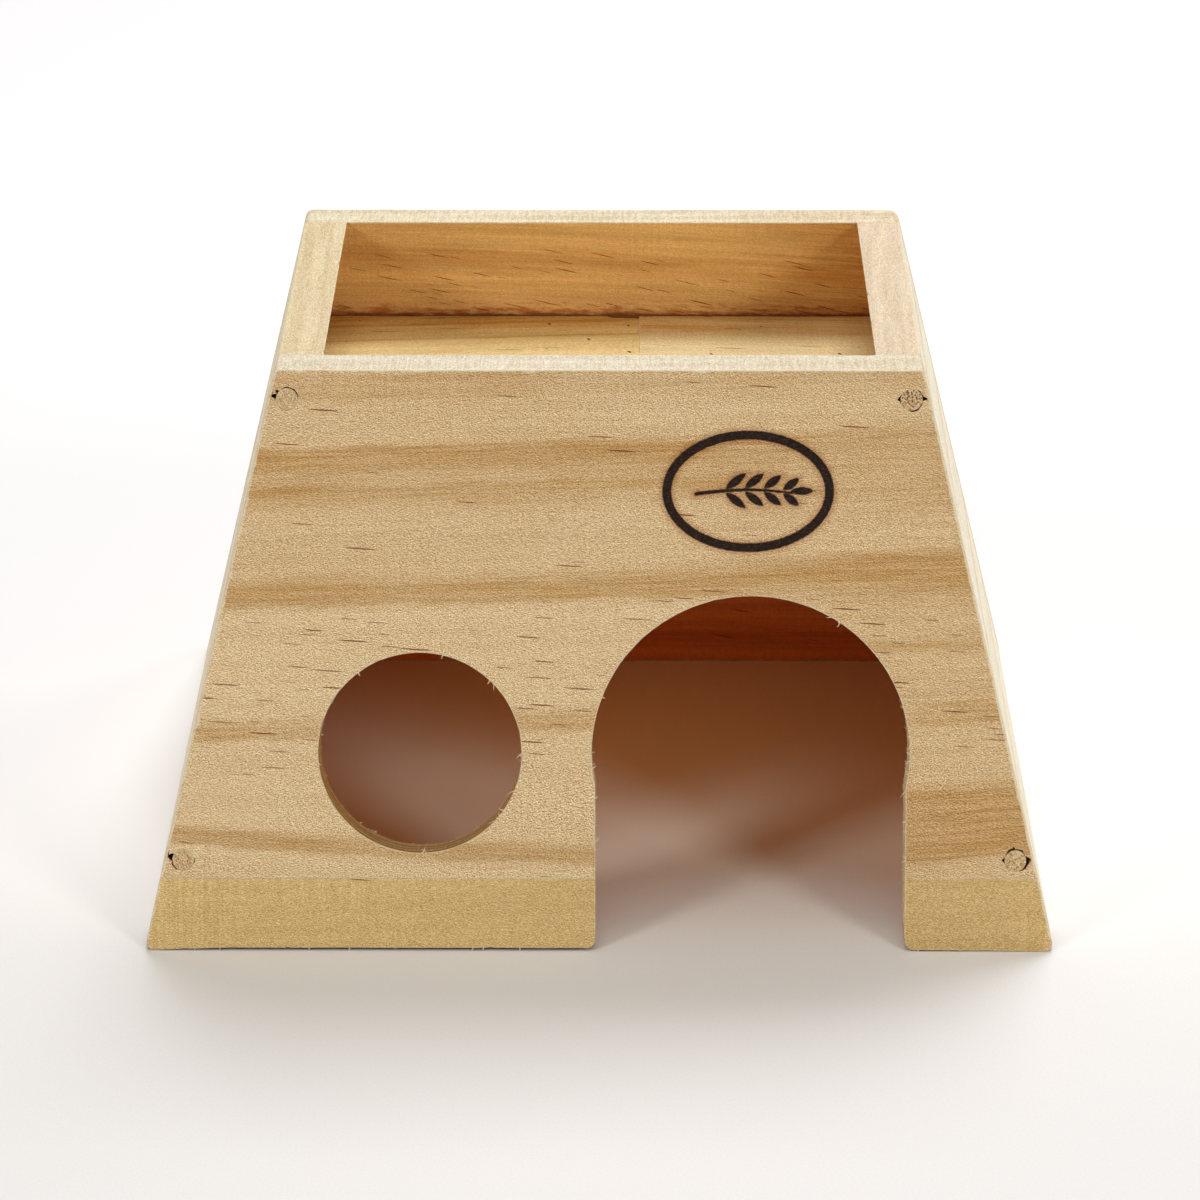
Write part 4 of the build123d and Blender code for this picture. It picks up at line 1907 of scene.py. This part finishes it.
@dataclass
class DowelPins:
    """Eight dowel pins, their outer ends sawn off flush with the front and back faces."""

    carcass: Carcass
    places: PinPlaces
    effects: Effects
    chamfer: float = 0.5
    rings: int = 10
    steps: int = 56
    pitting: tuple[float, ...] = (0.05, 0.7, 0.15, 0.35)
    face_inset: float = 0.10
    face_depth: float = 0.05
    dish: float = 0.04
    hub_depth: float = 0.09
    neck: float = 0.04
    slack: float = 0.01
    rod_depths: tuple[float, float] = (0.12, 0.3)
    rim_waver: float = 0.05
    rim_torn: float = 0.2
    tilt: float = 0.03
    tilt_out: float = 0.02

    def build(self) -> list[Thing]:
        """Makes and dresses every pin.

        Returns:
            The new pieces.
        """
        material = PIN_PINE.material(self.effects)
        made = []
        for wall, mirror in ((Wall.FRONT, False), (Wall.BACK, True)):
            for number, (spot, (across, up)) in enumerate(self.places.all().items()):
                level, side = spot.split("_")
                if mirror:
                    side = "right" if side == "left" else "left"
                node = f"pin_{wall.name.lower()}_{level}_{side}"
                name, axes = node.replace("pin_", "dowel_"), self.carcass.face(wall)
                dowel = self._pin(name, axes, across, up, number + 4 * mirror)
                dowel.data.materials.append(material)
                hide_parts(node)
                made.append(dowel)
        return made

    def _pin(self, name: str, axes: FaceFrame, across: float, up: float, seed: int) -> Thing:
        """A turned profile: sawn end, rod, chamfer and blind end. The end's rim wavers by a few
        hundredths of a mm and its face is slightly tilted and dished.

        Args:
            name: The piece's name.
            axes: The face that the pin is driven through.
            across: Centre across the face.
            up: Centre up the face.
            seed: Seed of its wear.

        Returns:
            The new piece.
        """
        radius = self.places.diameter / 2
        angle = circle(self.steps)
        waver = self.rim_waver * wavering(angle * 3.2, 9.0, 0.8, 130 + seed)
        share = np.linspace(0.0, 1.0, self.rings)[1:]
        end_radius = share * (radius - self.face_inset)
        end_depth = self.face_depth + self.dish * (1 - share**2)
        rod = radius - self.slack
        body_radius = np.array([radius - self.neck, rod, rod, radius - self.chamfer])
        body_depth = np.array([*self.rod_depths, self.places.length - self.chamfer, self.places.length])
        radii = np.concatenate([end_radius, body_radius])[:, None] * np.ones(self.steps)
        depths = np.concatenate([end_depth, body_depth])[:, None] * np.ones(self.steps)
        near_end = depths < 1.0
        rim = smoothstep(0.5, 1.0, radii / radius) * near_end
        radii = radii + np.clip(waver, -self.rim_torn, 0.0) * rim
        depths = depths + np.clip(self.tilt * np.cos(angle + seed), -self.tilt_out, self.tilt) * near_end
        grid_across = across + radii * np.cos(angle)
        grid_up = up + radii * np.sin(angle)
        tops = [(across, up, self.hub_depth), (across, up, self.places.length)]
        place = np.concatenate([
            np.stack([grid_across.ravel(), grid_up.ravel(), depths.ravel()], axis=1), np.array(tops),
        ])
        grid = np.arange(radii.size).reshape(radii.shape)
        base = np.stack([np.full(self.steps, radii.size + 1), np.roll(grid[-1], -1), grid[-1]], axis=1)
        faces = ring_faces(grid).tolist() + cap(radii.size, grid[0]) + base.tolist()
        local = np.stack([place[:, 2], place[:, 0] - across, place[:, 1] - up], axis=1)
        local = local + np.array([seed * 31.0, seed * 1.7, 2.0 + seed * 0.9])
        sawn = (place[:, 2] < 0.2).astype(float)
        # The pin end's rim pales: wear and a painted highlight.
        worn = np.append(0.7 * rim.ravel() ** 6, [0.0, 0.0])
        vertices = axes.place(place[:, 0], place[:, 1], place[:, 2])
        pitted = np.full(len(place), self.pitting[seed % 4])
        values = {"grain": local, "worn": worn, "sawn": sawn, "pitted": pitted}
        return piece(name, vertices, faces, values)


# ---------- The finishes in use ----------


FRONT_PINE = PineFinish(
    name="front_pine",
    light=Tone(235, 209, 168),
    dark=Tone(193, 148, 86),
    edge=Tone(218, 209, 184),
    bands=(
        GrowthBand(106.2, -6.5, 0.26, hold=0.5),
        GrowthBand(93.4, -10.0, 0.47, hold=0.25, rise=1.6),
        GrowthBand(86.2, -5.4, 0.36, hold=0.3),
        GrowthBand(64.6, 6.4, 0.42, hold=0.45),
        GrowthBand(63.4, -49.8, -0.15, hold=0.96),
        GrowthBand(40.8, 5.5, 0.44),
        GrowthBand(19.8, 4.4, 0.50, hold=0.5),
    ),
    far_bands=(
        GrowthBand(106.2, -6.5, 0.26, hold=0.5),
        GrowthBand(94.0, -20.0, 0.30, hold=0.6, rise=2.0),
        GrowthBand(71.8, -11.0, 0.52, hold=0.35, rise=3.2),
        GrowthBand(55.6, -3.4, 0.26),
        GrowthBand(40.2, 6.0, 0.30),
        GrowthBand(66.0, -65.0, 0.08, hold=0.95, rise=6.0),
        GrowthBand(17.8, 13.0, 0.40, hold=0.75),
    ),
    even=0.27,
    wander=0.7,
    bareness=0.8,
    dash_share=0.17,
    dash_zone=(37.0, 60.0),
    burned=True,
    seed=1.0,
)
STRIP_LEFT_PINE = PineFinish(
    name="strip_left_pine",
    light=Tone(233, 203, 142),
    dark=Tone(190, 150, 90),
    speckle=0.75,
    seed=2.0,
    dash_share=0.01,
    chatter=0.14,
)
STRIP_RIGHT_PINE = replace(STRIP_LEFT_PINE, name="strip_right_pine", light=Tone(225, 194, 135), seed=3.0)
BACK_BANDS = (
    GrowthBand(77, 7, 0.5),
    GrowthBand(53.5, -8.5, 0.6),
    GrowthBand(27.8, 8.2, 0.5),
    GrowthBand(10.2, -5.2, 0.4),
)
BACK_PINE = PineFinish(
    name="back_pine",
    light=Tone(238, 214, 176),
    dark=Tone(192, 142, 86),
    edge=Tone(219, 208, 177),
    # Its tray tint is brighter than white and its cabin tint orange: painted light inside.
    tray=Tone(262, 246, 203),
    cabin_painted_bounce=Tone(254, 187, 132),
    bands=(GrowthBand(99.2, -6.2, 0.3), *BACK_BANDS),
    far_bands=(GrowthBand(110.0, -30.0, 0.55, hold=0.9), *BACK_BANDS),
    far_from=(-12.0, -56.0),
    streak=0.11,
    dash_share=0.24,
    dash_zone=(84.0, 96.0),
    dash_slant=-0.25,
    dash_size=0.2,
    # Painted shade and resin in the corner above the deck.
    corner_stain=0.8,
    seed=4.0,
)
SIDE_LEFT_PINE = PineFinish(
    name="side_left_pine",
    # This pale tone is painted light as well as wood: it is lifted to stand for the side lamps' strong
    # light on this side.
    light=Tone(254, 242, 214),
    dark=Tone(216, 188, 144),
    edge=Tone(212, 194, 154),
    cabin_painted_bounce=Tone(254, 187, 132),
    bands=(
        GrowthBand(86.8, 7.2, 0.4),
        GrowthBand(61.2, -8.2, 0.45),
        GrowthBand(32.8, 7.2, 0.4),
        GrowthBand(13.2, -5.2, 0.35),
    ),
    dash_share=0.02,
    chatter=0.03,
    edge_streak=3.4,
    seed=5.0,
)
SIDE_RIGHT_PINE = PineFinish(
    name="side_right_pine",
    # This pale tone is painted light as well as wood: it is lifted to stand for the side lamps' strong
    # light on this side.
    light=Tone(254, 249, 227),
    dark=Tone(236, 208, 172),
    edge=Tone(213, 194, 165),
    cabin_painted_bounce=Tone(254, 187, 132),
    bands=(
        GrowthBand(96.4, -7.4, 0.45),
        GrowthBand(68.8, 8.2, 0.4),
        GrowthBand(45.2, -6.2, 0.5),
        GrowthBand(18.8, 7.2, 0.4),
    ),
    dash_share=0.03,
    chatter=0.03,
    edge_figure=0.4,
    seed=6.0,
)
DECK_LEFT_PINE = PineFinish(
    name="deck_left_pine",
    light=Tone(224, 198, 136),
    dark=Tone(180, 124, 46),
    bare=Tone(190, 146, 92),
    bands=(
        # This wide dark band along the back is painted shade: the back wall's shadow and the dim bounce at
        # the back of the tray.
        GrowthBand(48.0, -21.0, 0.7, hold=0.12, rise=1.0),
        GrowthBand(41.0, -2.2, 0.34, hold=0.2, rise=0.7),
        GrowthBand(32.3, -1.7, 0.44, hold=0.2, rise=0.7),
        GrowthBand(5, -4, 0.5),
        GrowthBand(-14.8, 3.8, 0.6),
        GrowthBand(-31, 6, 0.5),
    ),
    even=0.16,
    band_base=-60.0,
    wander=0.4,
    fray=0.9,
    streak=0.16,
    speckle=0.4,
    speckle_size=0.3,
    seed=7.0,
    dash_share=0.05,
    speck_share=0.2,
)
DECK_RIGHT_PINE = replace(
    DECK_LEFT_PINE,
    name="deck_right_pine",
    light=Tone(228, 208, 156),
    bands=(
        # This wide dark band along the back is painted shade: the back wall's shadow and the dim bounce at
        # the back of the tray.
        GrowthBand(48.0, -21.0, 0.62, hold=0.12, rise=1.0),
        GrowthBand(38.4, -7.0, 0.24, hold=0.3, rise=3.0),
        GrowthBand(-15, 7, 0.4),
    ),
    seed=8.0,
    dash_share=0.02,
)
PIN_PINE = PineFinish(
    name="pin_pine",
    light=Tone(214, 184, 134),
    dark=Tone(176, 134, 84),
    sawn=Tone(224, 198, 156),
    ring_spacing=1.3,
    pits=0.22,
    dash_share=0.0,
    seed=9.0,
)


# ---------- Studio ----------


@dataclass(frozen=True)
class SoftLight:
    """A square lamp that looks at the hideout. Bearing 0 is in front and 90 on the right."""

    name: str
    bearing: float
    elevation: float
    distance: float
    size: float
    power: float
    colour: Triple = (1.0, 1.0, 1.0)
    aim: Triple = (0.0, 0.0, 0.04)

    def hang(self) -> None:
        """Adds the lamp, hidden from the camera."""
        lamp = bpy.data.lights.new(self.name, "AREA")
        lamp.shape = "SQUARE"
        lamp.size = self.size
        lamp.energy = self.power
        lamp.color = self.colour
        made = linked(self.name, lamp)
        turn, lift = radians(self.bearing), radians(self.elevation)
        towards = Vector((sin(turn) * cos(lift), -cos(turn) * cos(lift), sin(lift)))
        aim = Vector(self.aim)
        made.matrix_world = Matrix.Translation(aim + towards * self.distance) @ (
            towards.to_track_quat("Z", "Y").to_matrix().to_4x4()
        )
        made.visible_camera = False


@dataclass(frozen=True)
class Viewpoint:
    """The camera: where it stands in mm, how it is turned in degrees, and its lens in mm."""

    place: Triple = (5.14, -868.3, 392.4)
    down: float = 22.115
    yaw: float = -0.352
    roll: float = -0.066
    lens: float = 146.45
    sensor: float = 36.0
    nearest: float = 10.0

    def set_up(self) -> None:
        """Adds the camera from its forward, right and up directions."""
        yaw, down, roll = radians(self.yaw), radians(self.down), radians(self.roll)
        ahead = np.array([sin(yaw) * cos(down), cos(yaw) * cos(down), -sin(down)])
        level = np.array([cos(yaw), -sin(yaw), 0.0])
        above = np.cross(level, ahead)
        right = cos(roll) * level + sin(roll) * above
        up = -sin(roll) * level + cos(roll) * above
        data = bpy.data.cameras.new("viewpoint")
        data.lens = self.lens
        data.sensor_width = self.sensor
        data.clip_start = self.nearest * MM
        camera = linked("viewpoint", data)
        turned = np.eye(4)
        turned[:3, 0], turned[:3, 1], turned[:3, 2] = right, up, -ahead
        turned[:3, 3] = np.array(self.place) * MM
        camera.matrix_world = Matrix(turned.tolist())
        bpy.context.scene.camera = camera


@dataclass(frozen=True)
class Studio:
    """A plain pale floor, soft lamps and an even sky."""

    FLOOR_STEPS = 96

    floor_rings: tuple[float, ...] = (0.4, 1.2, 2.2, 4.0)
    sky: float = 0.12
    lights: tuple[SoftLight, ...] = (
        SoftLight("overhead", 170.0, 58.5, 1.5, 0.60, 14.2, (0.98, 0.96, 1.0)),
        SoftLight("zenith", -20.0, 84.0, 1.5, 0.90, 6.0),
        SoftLight("side_left", -47.0, 29.0, 1.5, 0.32, 5.3, (1.0, 0.94, 0.80)),
        SoftLight("side_right", 40.0, 29.0, 1.5, 0.32, 5.05, (1.0, 0.94, 0.80)),
        SoftLight("far_right", 124.0, 30.0, 1.5, 0.60, 3.9),
        SoftLight("cabin_glow", 0.0, 90.0, 0.025, 0.05, 0.0056, (1.0, 0.42, 0.10)),
    )

    def build(self) -> list[Thing]:
        """Sets up floor, sky, lamps and camera.

        Returns:
            The floor, in a list.
        """
        angle = circle(self.FLOOR_STEPS)
        x, y = np.outer(self.floor_rings, np.cos(angle)), np.outer(self.floor_rings, np.sin(angle))
        vertices = np.stack([x.ravel(), y.ravel(), np.zeros(x.size)], axis=1)
        vertices = np.concatenate([vertices, np.zeros((1, 3))])
        grid = np.arange(x.size).reshape(x.shape)
        mesh = bpy.data.meshes.new("studio_floor")
        mesh.from_pydata(vertices.tolist(), [], ring_faces(grid).tolist() + cap(x.size, grid[0]))
        floor = linked("studio_floor", mesh)
        floor.data.materials.append(self._paper())
        world = bpy.data.worlds.new("even_sky")
        world.use_nodes = True
        sky = world.node_tree.nodes["Background"].inputs
        sky["Color"].default_value = (1.0, 1.0, 1.0, 1.0)
        sky["Strength"].default_value = self.sky
        bpy.context.scene.world = world
        for lamp in self.lights:
            lamp.hang()
        Viewpoint().set_up()
        settings = bpy.context.scene.view_settings
        settings.view_transform = "Standard"
        settings.look = "None"
        return [floor]

    @staticmethod
    def _paper() -> bpy.types.Material:
        """The floor's matt white paper, with the faintest tooth, its colour painted lighter beside and
        behind the hideout than near it and in front of it: painted light and shade.

        Returns:
            The material.
        """
        dark, light, painted_light_paper = (0.76, 0.753, 0.745, 1.0), (0.87, 0.865, 0.86, 1.0), (0.905, 0.902, 0.90, 1.0)
        tooth_scale, front, around = 2100.0, (-0.08, 0.01), (0.079, 0.093)
        made = bpy.data.materials.new("white_paper")
        made.use_nodes = True
        n = Nodes(made.node_tree)
        shader = made.node_tree.nodes["Principled BSDF"]
        place = n.add("TexCoord").outputs["Object"]
        tooth = n.noise(place, 2.0, 0.6, tooth_scale)
        colour = n.mixed(tooth, dark, light)
        # Painted light and shade: the paper turns paler away from the hideout and behind it.
        away = n.add("VectorMath", {0: place}, operation="LENGTH").outputs["Value"]
        behind = n.step(n.split(place)[1], *front)
        colour = n.mixed(n.times(n.step(away, *around), behind), colour, painted_light_paper)
        n.feed(shader.inputs["Base Color"], colour)
        shader.inputs["Roughness"].default_value = 0.9
        shader.inputs["Specular IOR Level"].default_value = 0.1
        return made


# ---------- Making ----------


def main() -> None:
    """Builds the studio and every sub-assembly in order, and reports each piece."""
    logging.basicConfig(level=logging.INFO, format="%(name)s: %(message)s")
    carcass = Carcass()
    pins = PinPlaces(carcass)
    effects = Effects()
    makers = (
        Studio(),
        FrontWall(carcass, Openings(carcass), pins, effects),
        BackWall(carcass, pins, effects),
        SideWalls(carcass, effects),
        Deck(carcass, effects),
        DowelPins(carcass, pins, effects),
    )
    for maker in makers:
        for made in maker.build():
            mesh = made.data
            log.info("%s: %d vertices, %d faces", made.name, len(mesh.vertices), len(mesh.polygons))


if __name__ == "__main__":
    main()
